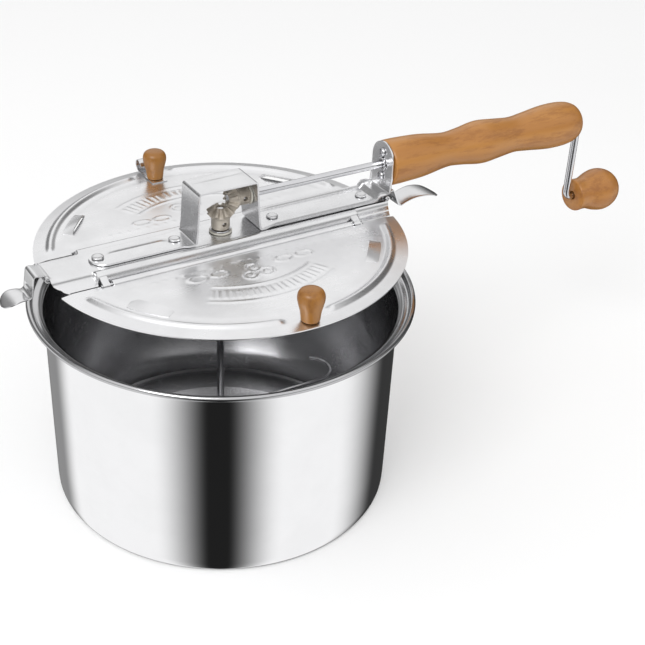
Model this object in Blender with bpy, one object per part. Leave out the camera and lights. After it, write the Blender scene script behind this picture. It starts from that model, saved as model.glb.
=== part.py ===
"""Stovetop popcorn maker: a steel pot, a two-leaf lid on a bridge, and a crank-driven stirrer.

Units are metres in Blender; the constants below are millimetres and pass through MM.
Frame: +Z up, origin at the middle of the pot's underside, +X along the bridge to the handle,
+Y towards the rear lid leaf. Heights marked "above the lid" count from the lid datum, just under the bridge's top.
"""
import math

import bmesh
import bpy
from mathutils import Matrix, Vector

MM = 0.001
BAR_TWIST = 4.0                # degrees, so that crossing bars and drills share no edges
GAP = 0.3                      # running and seating gap between neighbouring pieces

# Pot
BODY_RADIUS = 114.3            # 9 in diameter body
BASE_RADIUS = 113.2            # slight draft towards the base
LIP_RADIUS = 125.0
POT_HEIGHT = 140.8
POT_WALL = 1.0
POT_SEGMENTS = 56
LEDGE_TOP = 136.8              # ring inside the lip that the lid seats on

# Lid assembly
LID_TOP = 179.0                # lid datum at rest, 2 mm under the bridge's top face
LEAF_TOP = -3.0                # top face of the leaves, above the lid datum
LID_RADIUS = 117.5
LID_SHEET = 0.8
HINGE_Y = 22.0                 # leaf hinge axes, either side of the bridge
HINGE_HEIGHT = LEAF_TOP - 0.4  # above the lid
CURL_RADIUS = 2.4
CURL_BORE = 1.35
CURL_HALF = 83.0
HINGE_WIRE = 0.95
LUG_START, LUG_END = 85.0, 89.5
FRONT_KNOB_R = 110.5
REAR_KNOB_R = 99.0
KNOB_SCREW = 1.7
KNOB_SCREW_HOLE = 2.1
VENT_RADIUS = 96.0
VENT_LENGTH, VENT_WIDTH = 24.0, 7.0

# Bridge, strap and gear box
BRIDGE_HALF = 117.5
BRIDGE_SHEET = 1.0
BRIDGE_FLAT = 12.5             # half width of the flat top
SKIRT_REACH = 8.4              # how far each end's skirt stands out past the flat top
SKIRT_SETBACK = {-1: 7.5, 1: 4.0}        # how far the skirts stop short of each end
BRIDGE_TOP = 2.0               # above the lid
STRAP_SHEET = 1.2
STRAP_MID = BRIDGE_TOP + GAP + STRAP_SHEET / 2
STRAP_TIP = -88.5
STRAP_JOG = 3.0                # the strap's far end steps up over the clip's knuckle
BOX_BASE, BOX_HEAD = 22.2, 20.0
BOX_TOP = 36.5
PLATE_X = 120.0
PLATE_TOP = 39.0
STRAP_WIDTH = 11.7             # half width
RIVET_X = (-83.0, -32.0, 37.0, 104.0)
RIVET_SHANK = 2.0

# Crank and gears
ROD_HEIGHT = 23.5              # above the lid
ROD_RADIUS = 2.5
GEAR_TEETH = 8
GEAR_CONE = 8.0                # pitch radius, and distance from the shafts' crossing
ARM_X = 285.5
ARM_LENGTH = 61.0
ARM_BEND = 5.5
KNOB_X = 291.5
KNOB_LENGTH = 39.5
GRIP_START, GRIP_END = 121.2, 281.0
GRIP_SEGMENTS = 22
SCREW_PLACES = ((0.0, ROD_HEIGHT + 8.2), (0.0, ROD_HEIGHT - 8.2))
SCREW_SHANK = 1.5
CRANK_BUSH = 4.2               # outer radius of each bush where it passes through its sheet
STIRRER_BUSH = 4.6
GEAR_PIN = 0.95
GEAR_PIN_HOLE = 1.25
GEAR_PIN_PLACE = 14.6          # from the shafts' crossing, along each shaft

# Stirrer
SHAFT_RADIUS = 2.5
SHAFT_FOOT = -137.5            # above the lid
WIRE_RADIUS = 1.5
WIRE_REACH = 80.0
WIRE_HOOK = 15.0

# Clips
CLIP_X, CLIP_HEIGHT = 118.6, 2.2
CLIP_PIN = 0.9
CLIP_CURL = 1.65               # middle radius of the curl round the pin
CLIP_SHEET = 0.8
CLIP_HALF = 7.6
LEFT_SWING, RIGHT_SWING = 9.0, 22.0      # degrees outward of the latched position
LEFT_TONGUE, RIGHT_TONGUE = 16.0, 33.0   # along the bend

COLOURS = {
    "polished": ((0.83, 0.83, 0.84), 0.12, 1.0),
    "bright": ((0.80, 0.80, 0.81), 0.28, 1.0),
    "wire": ((0.70, 0.70, 0.71), 0.25, 1.0),
    "cast": ((0.42, 0.39, 0.35), 0.55, 0.7),
    "wood": ((0.50, 0.22, 0.07), 0.45, 0.0),
    "dark_wood": ((0.42, 0.17, 0.05), 0.42, 0.0),
    "bush": ((0.60, 0.58, 0.52), 0.45, 0.0),
}


# ---------------------------------------------------------------- shape helpers

def arc(centre, radius, start, end, steps):
    """Points on a circle, angles in degrees."""
    points = []
    for i in range(steps + 1):
        angle = math.radians(start + (end - start) * i / steps)
        points.append((centre[0] + radius * math.cos(angle), centre[1] + radius * math.sin(angle)))
    return points


def finish(name, mesh, finish_name, smooth=True, parent=None):
    """Give a mesh an object, a material of its own and a place in the scene."""
    colour, roughness, metallic = COLOURS[finish_name]
    material = bpy.data.materials.new(name + "_finish")
    material.use_nodes = True
    shader = material.node_tree.nodes["Principled BSDF"]
    shader.inputs["Base Color"].default_value = (*colour, 1.0)
    shader.inputs["Roughness"].default_value = roughness
    shader.inputs["Metallic"].default_value = metallic
    mesh.materials.append(material)
    obj = bpy.data.objects.new(name, mesh)
    bpy.context.collection.objects.link(obj)
    if smooth:
        mesh.shade_smooth()
        mesh.set_sharp_from_angle(angle=math.radians(35))
    if parent is not None:
        obj.parent = parent
        obj.matrix_parent_inverse = parent.matrix_world.inverted()
    return obj


def mesh_from(name, bm):
    bmesh.ops.remove_doubles(bm, verts=bm.verts, dist=1e-7)
    bmesh.ops.recalc_face_normals(bm, faces=bm.faces)
    mesh = bpy.data.meshes.new(name)
    bm.to_mesh(mesh)
    bm.free()
    return mesh


def turned_mesh(name, profile, segments, axis="Z", place=(0, 0, 0), twist=0.0):
    """Turn a closed (radius, height) outline about an axis through place."""
    bm = bmesh.new()
    verts = [bm.verts.new((r * MM, 0, h * MM)) for r, h in profile]
    on_axis = profile[0][0] == 0 and profile[-1][0] == 0
    ring = list(zip(verts, verts[1:]))
    if not on_axis:
        ring.append((verts[-1], verts[0]))
    edges = [bm.edges.new(pair) for pair in ring]
    bmesh.ops.spin(bm, geom=verts + edges, cent=(0, 0, 0), axis=(0, 0, 1),
                   angle=2 * math.pi, steps=segments, use_merge=True)
    turn = {"Z": Matrix.Identity(4),
            "X": Matrix.Rotation(math.pi / 2, 4, "Y"),
            "Y": Matrix.Rotation(-math.pi / 2, 4, "X")}[axis]
    spun = turn @ Matrix.Rotation(math.radians(twist), 4, "Z")
    bmesh.ops.transform(bm, matrix=Matrix.Translation(Vector(place) * MM) @ spun, verts=bm.verts)
    return mesh_from(name, bm)


def prism_mesh(name, outline, low, high, axis="Z"):
    """Extrude an outline along an axis: Z takes (x, y), Y takes (x, z), X takes (y, z)."""
    lift = {"Z": lambda a, b, c: (a, b, c),
            "Y": lambda a, b, c: (a, c, b),
            "X": lambda a, b, c: (c, a, b)}[axis]
    bm = bmesh.new()
    verts = [bm.verts.new(Vector(lift(a, b, low)) * MM) for a, b in outline]
    face = bm.faces.new(verts)
    grown = bmesh.ops.extrude_face_region(bm, geom=[face])["geom"]
    push = Vector(lift(0, 0, high - low)) * MM
    bmesh.ops.translate(bm, vec=push, verts=[v for v in grown if isinstance(v, bmesh.types.BMVert)])
    return mesh_from(name, bm)


def strip_mesh(name, stations, sheet):
    """A bent sheet strip: stations are (x, z, half width) along its middle line in the XZ plane."""
    bm = bmesh.new()
    loops = []
    for i, (x, z, half) in enumerate(stations):
        before = stations[max(i - 1, 0)]
        after = stations[min(i + 1, len(stations) - 1)]
        along = Vector((after[0] - before[0], after[1] - before[1])).normalized()
        here = Vector((x, z))
        into = (here - Vector(before[:2])).normalized() if i else along
        mitre = max(0.6, abs(along.dot(into)))
        normal = Vector((-along.y, along.x)) * (sheet / 2 / mitre)
        up, down = here + normal, here - normal
        corners = ((up.x, -half, up.y), (up.x, half, up.y), (down.x, half, down.y), (down.x, -half, down.y))
        loops.append([bm.verts.new(Vector(c) * MM) for c in corners])
    for low, high in zip(loops, loops[1:]):
        for k in range(4):
            bm.faces.new((low[k], low[(k + 1) % 4], high[(k + 1) % 4], high[k]))
    bm.faces.new(loops[0])
    bm.faces.new(reversed(loops[-1]))
    return mesh_from(name, bm)


def wire_mesh(name, points, radius, sides=8):
    """A round wire along points, as the mesh of a bevelled curve with filled ends."""
    curve = bpy.data.curves.new(name, "CURVE")
    curve.dimensions = "3D"
    curve.bevel_depth = radius * MM
    curve.bevel_resolution = (sides - 4) // 2
    curve.use_fill_caps = True
    spline = curve.splines.new("POLY")
    spline.points.add(len(points) - 1)
    for target, point in zip(spline.points, points):
        target.co = (*(Vector(point) * MM), 1.0)
    drawn = bpy.data.objects.new(name + "_line", curve)
    bpy.context.collection.objects.link(drawn)
    mesh = bpy.data.meshes.new_from_object(drawn)
    bpy.data.objects.remove(drawn, do_unlink=True)
    bm = bmesh.new()
    bm.from_mesh(mesh)
    bpy.data.meshes.remove(mesh)
    return mesh_from(name, bm)


def guide(name, mesh):
    """A cutter or joining shape that isn't a part of the model."""
    obj = bpy.data.objects.new(name, mesh)
    bpy.context.collection.objects.link(obj)
    obj.hide_render = True
    obj.display_type = "WIRE"
    return obj


def boolean(obj, operation, tool_name, mesh, solver="EXACT"):
    modifier = obj.modifiers.new(tool_name, "BOOLEAN")
    modifier.operation = operation
    modifier.solver = solver
    modifier.object = guide(obj.name + "_" + tool_name, mesh)


def cut(obj, tool_name, mesh, solver="EXACT"):
    boolean(obj, "DIFFERENCE", tool_name, mesh, solver)


def join(obj, tool_name, mesh, solver="EXACT"):
    boolean(obj, "UNION", tool_name, mesh, solver)


def rod_mesh(name, radius, low, high, place=(0, 0, 0), axis="Z", segments=12):
    """A plain round bar or drill, from low to high along an axis through place."""
    profile = [(0, low), (radius, low), (radius, high), (0, high)]
    return turned_mesh(name, profile, segments, axis, place, twist=BAR_TWIST)


def joint_empty(name, place, parent=None):
    empty = bpy.data.objects.new(name, None)
    empty.location = Vector(place) * MM
    empty.empty_display_size = 0.02
    bpy.context.collection.objects.link(empty)
    if parent is not None:
        empty.parent = parent
        empty.matrix_parent_inverse = parent.matrix_world.inverted()
    bpy.context.view_layer.update()
    return empty


def over(height):
    """World height of a point given above the lid."""
    return LID_TOP + height


# ---------------------------------------------------------------- pot

def make_pot():
    bead = (LIP_RADIUS - 1.8, POT_HEIGHT - 1.8)
    outer = [(0, 0), (BASE_RADIUS - 2.4, 0)]
    outer += arc((BASE_RADIUS - 2.2, 2.2), 2.2, -60, 0, 3)
    outer += [(BODY_RADIUS, 131.6), (BODY_RADIUS + 0.8, 134.2), (BODY_RADIUS + 2.6, 135.5),
              (LIP_RADIUS - 3.6, LEDGE_TOP - POT_WALL)]
    outer += arc(bead, 1.8, -110, 180, 7)
    inner = [(LIP_RADIUS - 4.0, LEDGE_TOP + 0.4), (LIP_RADIUS - 4.8, LEDGE_TOP),
             (BODY_RADIUS + 2.2, LEDGE_TOP), (BODY_RADIUS + 0.1, 135.1), (BODY_RADIUS - 1.0, 132.0),
             (BASE_RADIUS - POT_WALL, 3.0), (BASE_RADIUS - 2.6, POT_WALL), (0, POT_WALL)]
    return finish("pot", turned_mesh("pot", outer + inner, POT_SEGMENTS), "polished")


# ---------------------------------------------------------------- lid frame

def sheet_section(points, sheet):
    """Close a symmetric half section (y, z) into the outline of a sheet of that thickness."""
    under = []
    for i, (y, z) in enumerate(points):
        before = points[max(i - 1, 0)]
        after = points[min(i + 1, len(points) - 1)]
        along = Vector((after[0] - before[0], after[1] - before[1])).normalized()
        if i == 0:
            along = Vector((1, 0))
        under.append((y + along.y * sheet, z - along.x * sheet))
    left_top = [(-y, z) for y, z in points[:0:-1]]
    left_under = [(-y, z) for y, z in under[1:]]
    return left_top + points + under[::-1] + left_under


def make_bridge(frame):
    middle = [(0, 2.0), (BRIDGE_FLAT, 2.0), (14.6, 3.0), (16.6, 2.8), (18.2, 0.6), (18.9, -2.8)]
    ends = [(0, 2.0), (BRIDGE_FLAT, 2.0), (14.5, 1.2), (17.0, -0.2), (18.8, -1.0),
            (BRIDGE_FLAT + SKIRT_REACH, -2.4)]
    bm = bmesh.new()
    loops = []
    for x, half in ((-BRIDGE_HALF, ends), (-92.0, ends), (-90.5, middle),
                    (90.5, middle), (92.0, ends), (BRIDGE_HALF, ends)):
        outline = sheet_section(half, BRIDGE_SHEET)
        loop = []
        for y, z in outline:
            pull = 0.0
            if abs(x) == BRIDGE_HALF and abs(y) > BRIDGE_FLAT:
                pull = SKIRT_SETBACK[-1 if x < 0 else 1] * (abs(y) - BRIDGE_FLAT) / SKIRT_REACH
            loop.append(bm.verts.new(Vector((x - math.copysign(pull, x), y, over(z))) * MM))
        loops.append(loop)
    count = len(loops[0])
    for low, high in zip(loops, loops[1:]):
        for k in range(count):
            bm.faces.new((low[k], low[(k + 1) % count], high[(k + 1) % count], high[k]))
    bm.faces.new(loops[0])
    bm.faces.new(reversed(loops[-1]))
    bmesh.ops.triangulate(bm, faces=bm.faces)
    bridge = finish("bridge", mesh_from("bridge", bm), "bright", smooth=False, parent=frame)

    for side in (-1, 1):
        for end in (-1, 1):
            outline = [(side * 14.5, over(1.6)), (side * (HINGE_Y - 0.5), over(HINGE_HEIGHT + 2.0))]
            outline += arc((side * HINGE_Y, over(HINGE_HEIGHT)), 1.9, 90, 90 - side * 180, 6)
            outline += [(side * (HINGE_Y - 2.2), over(HINGE_HEIGHT - 1.8)), (side * 15.5, over(0.2))]
            low, high = sorted((end * LUG_START, end * LUG_END))
            join(bridge, "lug_%+d_%+d" % (side, end), prism_mesh("lug", outline, low, high, "X"))
    for end in (-1, 1):
        notch = [(x, y * (CLIP_HALF + GAP)) for x, y in
                 ((end * 116.1, -1), (end * 119.0, -1), (end * 119.0, 1), (end * 116.1, 1))]
        cut(bridge, "curl_notch_%+d" % end, prism_mesh("notch", notch, over(0), over(4)), "MANIFOLD")
        for side in (-1, 1):
            low, high = sorted((side * (CLIP_HALF + GAP), side * (CLIP_HALF + GAP + 2.2)))
            eye = (end * CLIP_X, over(CLIP_HEIGHT))
            ear = arc(eye, 1.8, 90, 90 - end * 180, 8)
            ear += [(end * (BRIDGE_HALF - 3), over(1.3)), (end * (BRIDGE_HALF - 3), over(1.9)),
                    (end * (BRIDGE_HALF - 1.5), over(CLIP_HEIGHT + 1.8))]
            join(bridge, "ear_%+d_%+d" % (end, side), prism_mesh("ear", ear, low, high, "Y"), "MANIFOLD")
        cut(bridge, "pin_hole_%+d" % end,
            rod_mesh("drill", CLIP_PIN + GAP, -13, 13, (end * CLIP_X, 0, over(CLIP_HEIGHT)), "Y"),
            "MANIFOLD")
    for side in (-1, 1):
        cut(bridge, "wire_hole_%+d" % side,
            rod_mesh("drill", HINGE_WIRE + GAP, -91, 91,
                     (0, side * HINGE_Y, over(HINGE_HEIGHT)), "X"), "MANIFOLD")
    for k, x in enumerate(RIVET_X):
        drill = rod_mesh("drill", RIVET_SHANK + GAP, -4, 4, (x, 0, over(2)))
        cut(bridge, "rivet_hole_%d" % k, drill, "MANIFOLD")
    cut(bridge, "bush_hole", rod_mesh("drill", STIRRER_BUSH + GAP, -4, 4, (0, 0, over(2)), segments=16),
        "MANIFOLD")
    return bridge


def make_strap(frame):
    """One bent strap: rounded tip, gear box, channel and the plate that the grip is screwed to."""
    stations = []
    tip_half = 10.0
    for step in range(1, 7):
        run = tip_half * (1 - math.cos(math.radians(15 * step)))
        half = tip_half * math.sin(math.radians(15 * step))
        stations.append((STRAP_TIP + run, over(STRAP_MID), half))
    bend = 1.8
    lean = math.degrees(math.atan2(BOX_BASE - BOX_HEAD, BOX_TOP - STRAP_MID))

    def corner(centre, start, end):
        points = arc(centre, bend, start, end, 4)
        return [(x, over(z), STRAP_WIDTH) for x, z in points]

    stations += [(-30.0, over(STRAP_MID), tip_half), (-27.0, over(STRAP_MID), STRAP_WIDTH)]
    stations += corner((-BOX_BASE - bend, STRAP_MID + bend), -90, -lean)
    stations += corner((-BOX_HEAD + bend, BOX_TOP - STRAP_SHEET / 2 - bend), 180 - lean, 90)
    stations += corner((BOX_HEAD - bend, BOX_TOP - STRAP_SHEET / 2 - bend), 90, lean)
    stations += corner((BOX_BASE + bend, STRAP_MID + bend), 180 + lean, 270)
    stations += [(109.5, over(STRAP_MID), STRAP_WIDTH), (112.5, over(STRAP_MID + STRAP_JOG), STRAP_WIDTH)]
    stations += corner((PLATE_X - bend, STRAP_MID + STRAP_JOG + bend), -90, 0)
    top_half = STRAP_WIDTH
    stations.append((PLATE_X, over(PLATE_TOP - top_half), top_half))
    for step in range(1, 6):
        rise = math.radians(15 * step)
        stations.append((PLATE_X, over(PLATE_TOP - top_half + top_half * math.sin(rise)),
                         top_half * math.cos(rise)))
    stations.append((PLATE_X, over(PLATE_TOP), 1.2))
    strap = finish("handle_strap", strip_mesh("strap", stations, STRAP_SHEET), "bright",
                   smooth=False, parent=frame)
    for side in (-1, 1):
        wall = [(28.0, 3.0), (33.0, 6.0), (107.0, 6.3), (112.0, 9.0), (119.6, 12.0), (119.6, 6.0),
                (113.0, 6.0), (110.0, 3.0)]
        outline = [(x, over(z)) for x, z in wall]
        low, high = sorted((side * (STRAP_WIDTH - 1.1), side * STRAP_WIDTH))
        join(strap, "side_%+d" % side, prism_mesh("side", outline, low, high, "Y"))
    for k, x in enumerate(RIVET_X):
        cut(strap, "rivet_hole_%d" % k, rod_mesh("drill", RIVET_SHANK + GAP, -4, 4, (x, 0, over(3))))
    rod_line = (0, 0, over(ROD_HEIGHT))
    cut(strap, "rod_hole_box", rod_mesh("drill", CRANK_BUSH + GAP, 15, 28, rod_line, "X", 16))
    cut(strap, "rod_hole_plate", rod_mesh("drill", ROD_RADIUS + 0.6, 115, 125, rod_line, "X", 16))
    for k, (y, z) in enumerate(SCREW_PLACES):
        cut(strap, "screw_hole_%d" % k,
            rod_mesh("drill", SCREW_SHANK + GAP, 115, 125, (0, y, over(z)), "X"))
    return strap


def make_rivets(frame):
    for k, x in enumerate(RIVET_X):
        top = STRAP_MID + STRAP_SHEET / 2 + GAP
        under = BRIDGE_TOP - BRIDGE_SHEET - GAP
        profile = [(0, under - 1.2), (2.4, under - 1.2), (3.2, under - 0.5), (3.2, under),
                   (RIVET_SHANK, under), (RIVET_SHANK, top), (3.8, top), (3.7, top + 0.7),
                   (2.6, top + 1.3), (0, top + 1.5)]
        mesh = turned_mesh("rivet", [(r, over(z)) for r, z in profile], 14, "Z", (x, 0, 0))
        finish("rivet_%d" % (k + 1), mesh, "bright", parent=frame)


def make_frame_bushes(frame):
    profile = [(SHAFT_RADIUS + GAP, -1.6), (STIRRER_BUSH, -1.6), (STIRRER_BUSH, BRIDGE_TOP + GAP),
               (7.2, BRIDGE_TOP + GAP), (7.2, 3.4), (SHAFT_RADIUS + GAP, 3.4)]
    finish("stirrer_bush", turned_mesh("bush", [(r, over(z)) for r, z in profile], 18), "bush", parent=frame)
    wall = BOX_BASE - (BOX_BASE - BOX_HEAD) * (ROD_HEIGHT - STRAP_MID) / (BOX_TOP - STRAP_MID)
    profile = [(ROD_RADIUS + GAP, wall - 2.2), (6.4, wall - 2.2), (6.4, wall - 1.2),
               (CRANK_BUSH, wall - 1.2), (CRANK_BUSH, wall + 2.0), (ROD_RADIUS + GAP, wall + 2.0)]
    mesh = turned_mesh("bush", profile, 18, "X", (0, 0, over(ROD_HEIGHT)))
    finish("crank_bush", mesh, "bush", parent=frame)
    ring = [(ROD_RADIUS + GAP, -GAP), (5.0, -GAP), (5.0, -1.1), (ROD_RADIUS + GAP, -1.1)]
    face = PLATE_X - STRAP_SHEET / 2
    mesh = turned_mesh("ring", [(r, face + z) for r, z in ring], 18, "X", (0, 0, over(ROD_HEIGHT)))
    finish("plate_star_ring", mesh, "wire", parent=frame)


def make_grip(frame):
    """A turned wooden grip with three swells, bored through for the crank rod."""
    swells = ((0, 14.6), (2.0, 15.1), (10, 15.2), (28, 14.2), (48, 11.6), (60, 12.6), (76, 14.7),
              (90, 13.4), (104, 12.2), (116, 13.4), (132, 15.2), (146, 15.4), (154, 14.2), (157.6, 12.4),
              (GRIP_END - GRIP_START, 10.0))
    outer = smooth_profile(swells, 2)
    bore = ROD_RADIUS + 0.7
    profile = [(bore, GRIP_START)] + [(r, GRIP_START + x) for x, r in outer] + [(bore, GRIP_END)]
    grip = finish("handle_grip", turned_mesh("grip", profile, GRIP_SEGMENTS, "X", (0, 0, over(ROD_HEIGHT))),
                  "wood", parent=frame)
    for k, (y, z) in enumerate(SCREW_PLACES):
        cut(grip, "pilot_%d" % k, rod_mesh("drill", SCREW_SHANK + GAP, 118, 138, (0, y, over(z)), "X"))
        head = PLATE_X - STRAP_SHEET / 2 - GAP
        profile = [(0, head - 1.8), (1.8, head - 1.7), (2.8, head - 1.0), (3.0, head),
                   (SCREW_SHANK, head), (SCREW_SHANK, 135), (0, 136.5)]
        mesh = turned_mesh("screw", profile, 12, "X", (0, y, over(z)))
        finish("handle_screw_%d" % (k + 1), mesh, "wire", parent=frame)
    return grip


def smooth_profile(points, steps):
    """A smooth line through (position, radius) points by cubic interpolation of the radius."""
    result = []
    for i in range(len(points) - 1):
        p0 = points[max(i - 1, 0)]
        p1, p2 = points[i], points[i + 1]
        p3 = points[min(i + 2, len(points) - 1)]
        slope1 = (p2[1] - p0[1]) / (p2[0] - p0[0])
        slope2 = (p3[1] - p1[1]) / (p3[0] - p1[0])
        span = p2[0] - p1[0]
        for k in range(steps):
            t = k / steps
            value = ((2 * t ** 3 - 3 * t ** 2 + 1) * p1[1] + (t ** 3 - 2 * t ** 2 + t) * span * slope1
                     + (3 * t ** 2 - 2 * t ** 3) * p2[1] + (t ** 3 - t ** 2) * span * slope2)
            result.append((p1[0] + t * span, value))
    result.append(points[-1])
    return result


def make_hinge_wires(frame):
    for name, side in (("front_hinge_wire", -1), ("rear_hinge_wire", 1)):
        mesh = rod_mesh(name, HINGE_WIRE, -90.2, 90.2, (0, side * HINGE_Y, over(HINGE_HEIGHT)), "X", 10)
        finish(name, mesh, "wire", parent=frame)
    for name, end in (("left_clip_pin", -1), ("right_clip_pin", 1)):
        half = CLIP_HALF + GAP + 2.5
        mesh = rod_mesh(name, CLIP_PIN, -half, half, (end * CLIP_X, 0, over(CLIP_HEIGHT)), "Y", 10)
        finish(name, mesh, "wire", parent=frame)


# ---------------------------------------------------------------- lid leaves

def leaf_outline(side):
    """Half disc outside the hinge line, notched at the hinge curl and lugs."""
    edge = HINGE_Y + 0.5
    curl = HINGE_Y + 1.75
    notch = HINGE_Y + 2.6
    start = math.degrees(math.asin(edge / LID_RADIUS))
    rim = arc((0, 0), LID_RADIUS, start, 180 - start, 44)
    inner = [(-(LUG_END + 1.5), edge), (-(LUG_END + 1.5), notch), (-CURL_HALF, notch), (-CURL_HALF, curl),
             (CURL_HALF, curl), (CURL_HALF, notch), (LUG_END + 1.5, notch), (LUG_END + 1.5, edge)]
    return [(x, side * y) for x, y in rim + inner]


def slot_outline(angle):
    """A round-ended slot, lying along the rim at an angle round the lid."""
    half = VENT_LENGTH / 2 - VENT_WIDTH / 2
    local = arc((half, 0), VENT_WIDTH / 2, -90, 90, 5) + arc((-half, 0), VENT_WIDTH / 2, 90, 270, 5)
    along = math.radians(angle + 90)
    centre = (VENT_RADIUS * math.cos(math.radians(angle)), VENT_RADIUS * math.sin(math.radians(angle)))
    return [(centre[0] + x * math.cos(along) - y * math.sin(along),
             centre[1] + x * math.sin(along) + y * math.cos(along)) for x, y in local]


def make_leaf(name, side, knob_radius, axis_empty):
    mesh = prism_mesh(name, leaf_outline(side), over(LEAF_TOP - LID_SHEET), over(LEAF_TOP))
    leaf = finish(name, mesh, "bright", smooth=False, parent=axis_empty)
    line = (0, side * HINGE_Y, over(HINGE_HEIGHT))
    join(leaf, "curl", rod_mesh("curl", CURL_RADIUS, -CURL_HALF, CURL_HALF, line, "X", 16))
    cut(leaf, "curl_bore", rod_mesh("bore", CURL_BORE, -CURL_HALF - 2, CURL_HALF + 2, line, "X", 12))
    for k, angle in enumerate((38, 142)):
        mesh = prism_mesh("vent", slot_outline(side * angle), over(LEAF_TOP - 3), over(LEAF_TOP + 3))
        cut(leaf, "vent_%d" % k, mesh)
    cut(leaf, "screw_hole", rod_mesh("drill", KNOB_SCREW_HOLE, -3, 3, (0, side * knob_radius, over(LEAF_TOP))))
    return leaf


KNOB_PROFILE = ((0, 5.6), (2.0, 5.8), (6.0, 6.3), (10.0, 7.3), (13.5, 8.0), (16.5, 7.8), (18.6, 6.6),
                (19.5, 5.0))
KNOB_HEIGHT = 20.0


def make_lid_knob(name, side, radius, foot, axis_empty):
    """Turned knob held by a screw from under the leaf."""
    y = side * radius
    outer = smooth_profile(KNOB_PROFILE, 2)
    profile = [(KNOB_SCREW_HOLE, 0)] + [(r, h) for h, r in outer] + [(2.6, KNOB_HEIGHT), (0, KNOB_HEIGHT)]
    profile += [(0, 14.5), (KNOB_SCREW_HOLE, 14.5)]
    mesh = turned_mesh(name, [(r, over(foot + h)) for r, h in profile], 18, "Z", (0, y, 0))
    finish(name, mesh, "dark_wood", parent=axis_empty)
    under = LEAF_TOP - LID_SHEET - GAP
    profile = [(0, under - 2.0), (2.6, under - 1.9), (3.9, under - 0.9), (4.0, under), (KNOB_SCREW, under),
               (KNOB_SCREW, foot + 13.0), (0, foot + 14.0)]
    mesh = turned_mesh(name + "_screw", [(r, over(h)) for r, h in profile], 12, "Z", (0, y, 0))
    finish(name + "_screw", mesh, "wire", parent=axis_empty)


def make_rear_catch(axis_empty):
    """Sprung strip under the rear knob that reaches past the leaf's rim and curls up."""
    sheet = 0.6
    level = LEAF_TOP + GAP + sheet / 2
    path = [(REAR_KNOB_R - 8.0, level), (LID_RADIUS - 6.0, level), (LID_RADIUS - 2.5, level)]
    path += arc((LID_RADIUS - 2.5, level + 4.0), 4.0, -72, 172, 12)
    stations = [(x, over(z), 5.6) for x, z in path]
    mesh = strip_mesh("rear_catch", stations, sheet)
    mesh.transform(Matrix.Rotation(math.pi / 2, 4, "Z"))
    catch = finish("rear_catch", mesh, "bright", smooth=False, parent=axis_empty)
    cut(catch, "screw_hole", rod_mesh("drill", KNOB_SCREW_HOLE, -3, 3, (0, REAR_KNOB_R, over(LEAF_TOP))))


# ---------------------------------------------------------------- crank and gears

def gear_blank_mesh():
    """A bevel gear's blank and hub about +Z, with its pitch cone's tip at the origin."""
    root = 1.5 * math.sqrt(0.5)
    hub = [(0, -18.6), (5.7, -18.6), (5.9, -18.0), (5.9, -11.2), (GEAR_CONE - 0.8, -GEAR_CONE - 2.0),
           (GEAR_CONE - root, -GEAR_CONE - root),
           (0.5 * (GEAR_CONE - root), -0.5 * (GEAR_CONE + root)), (0, -0.5 * (GEAR_CONE + root))]
    return turned_mesh("gear_blank", hub, 24, twist=BAR_TWIST)


def tooth_mesh(angle):
    """One bevel tooth: narrower and lower towards the cone's tip."""
    bm = bmesh.new()
    rings = []
    for scale in (1.06, 0.50):
        pitch = GEAR_CONE * scale
        rise = 1.25 * scale
        half_root, half_tip = 1.65 * scale, 0.95 * scale
        out = math.sqrt(0.5)
        root = (pitch - 2.4 * scale * out, -pitch - 2.4 * scale * out)
        tip = (pitch + rise * out, -pitch + rise * out)
        corners = ((root[0], -half_root, root[1]), (root[0], half_root, root[1]),
                   (tip[0], half_tip, tip[1]), (tip[0], -half_tip, tip[1]))
        rings.append([bm.verts.new(Vector(c) * MM) for c in corners])
    for k in range(4):
        bm.faces.new((rings[0][k], rings[0][(k + 1) % 4], rings[1][(k + 1) % 4], rings[1][k]))
    bm.faces.new(rings[0])
    bm.faces.new(reversed(rings[1]))
    bmesh.ops.transform(bm, matrix=Matrix.Rotation(angle, 4, "Z"), verts=bm.verts)
    return mesh_from("tooth", bm)


def make_gear(name, place, turn, phase, bore, parent):
    """Gear blank with its teeth, shaft bore and cross-pin hole, turned to its shaft."""
    matrix = Matrix.Translation(Vector(place) * MM) @ turn
    mesh = gear_blank_mesh()
    mesh.transform(matrix)
    gear = finish(name, mesh, "cast", smooth=False, parent=parent)
    for k in range(GEAR_TEETH):
        tooth = tooth_mesh(2 * math.pi * (k + phase) / GEAR_TEETH)
        tooth.transform(matrix)
        join(gear, "tooth_%d" % k, tooth, "MANIFOLD")
    drill = rod_mesh("bore", bore, -30, 5)
    drill.transform(matrix)
    cut(gear, "bore", drill, "MANIFOLD")
    cross = rod_mesh("cross", GEAR_PIN_HOLE, -10, 10, (0, 0, -GEAR_PIN_PLACE), "Y")
    cross.transform(matrix)
    cut(gear, "pin_hole", cross, "MANIFOLD")
    return gear


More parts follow.
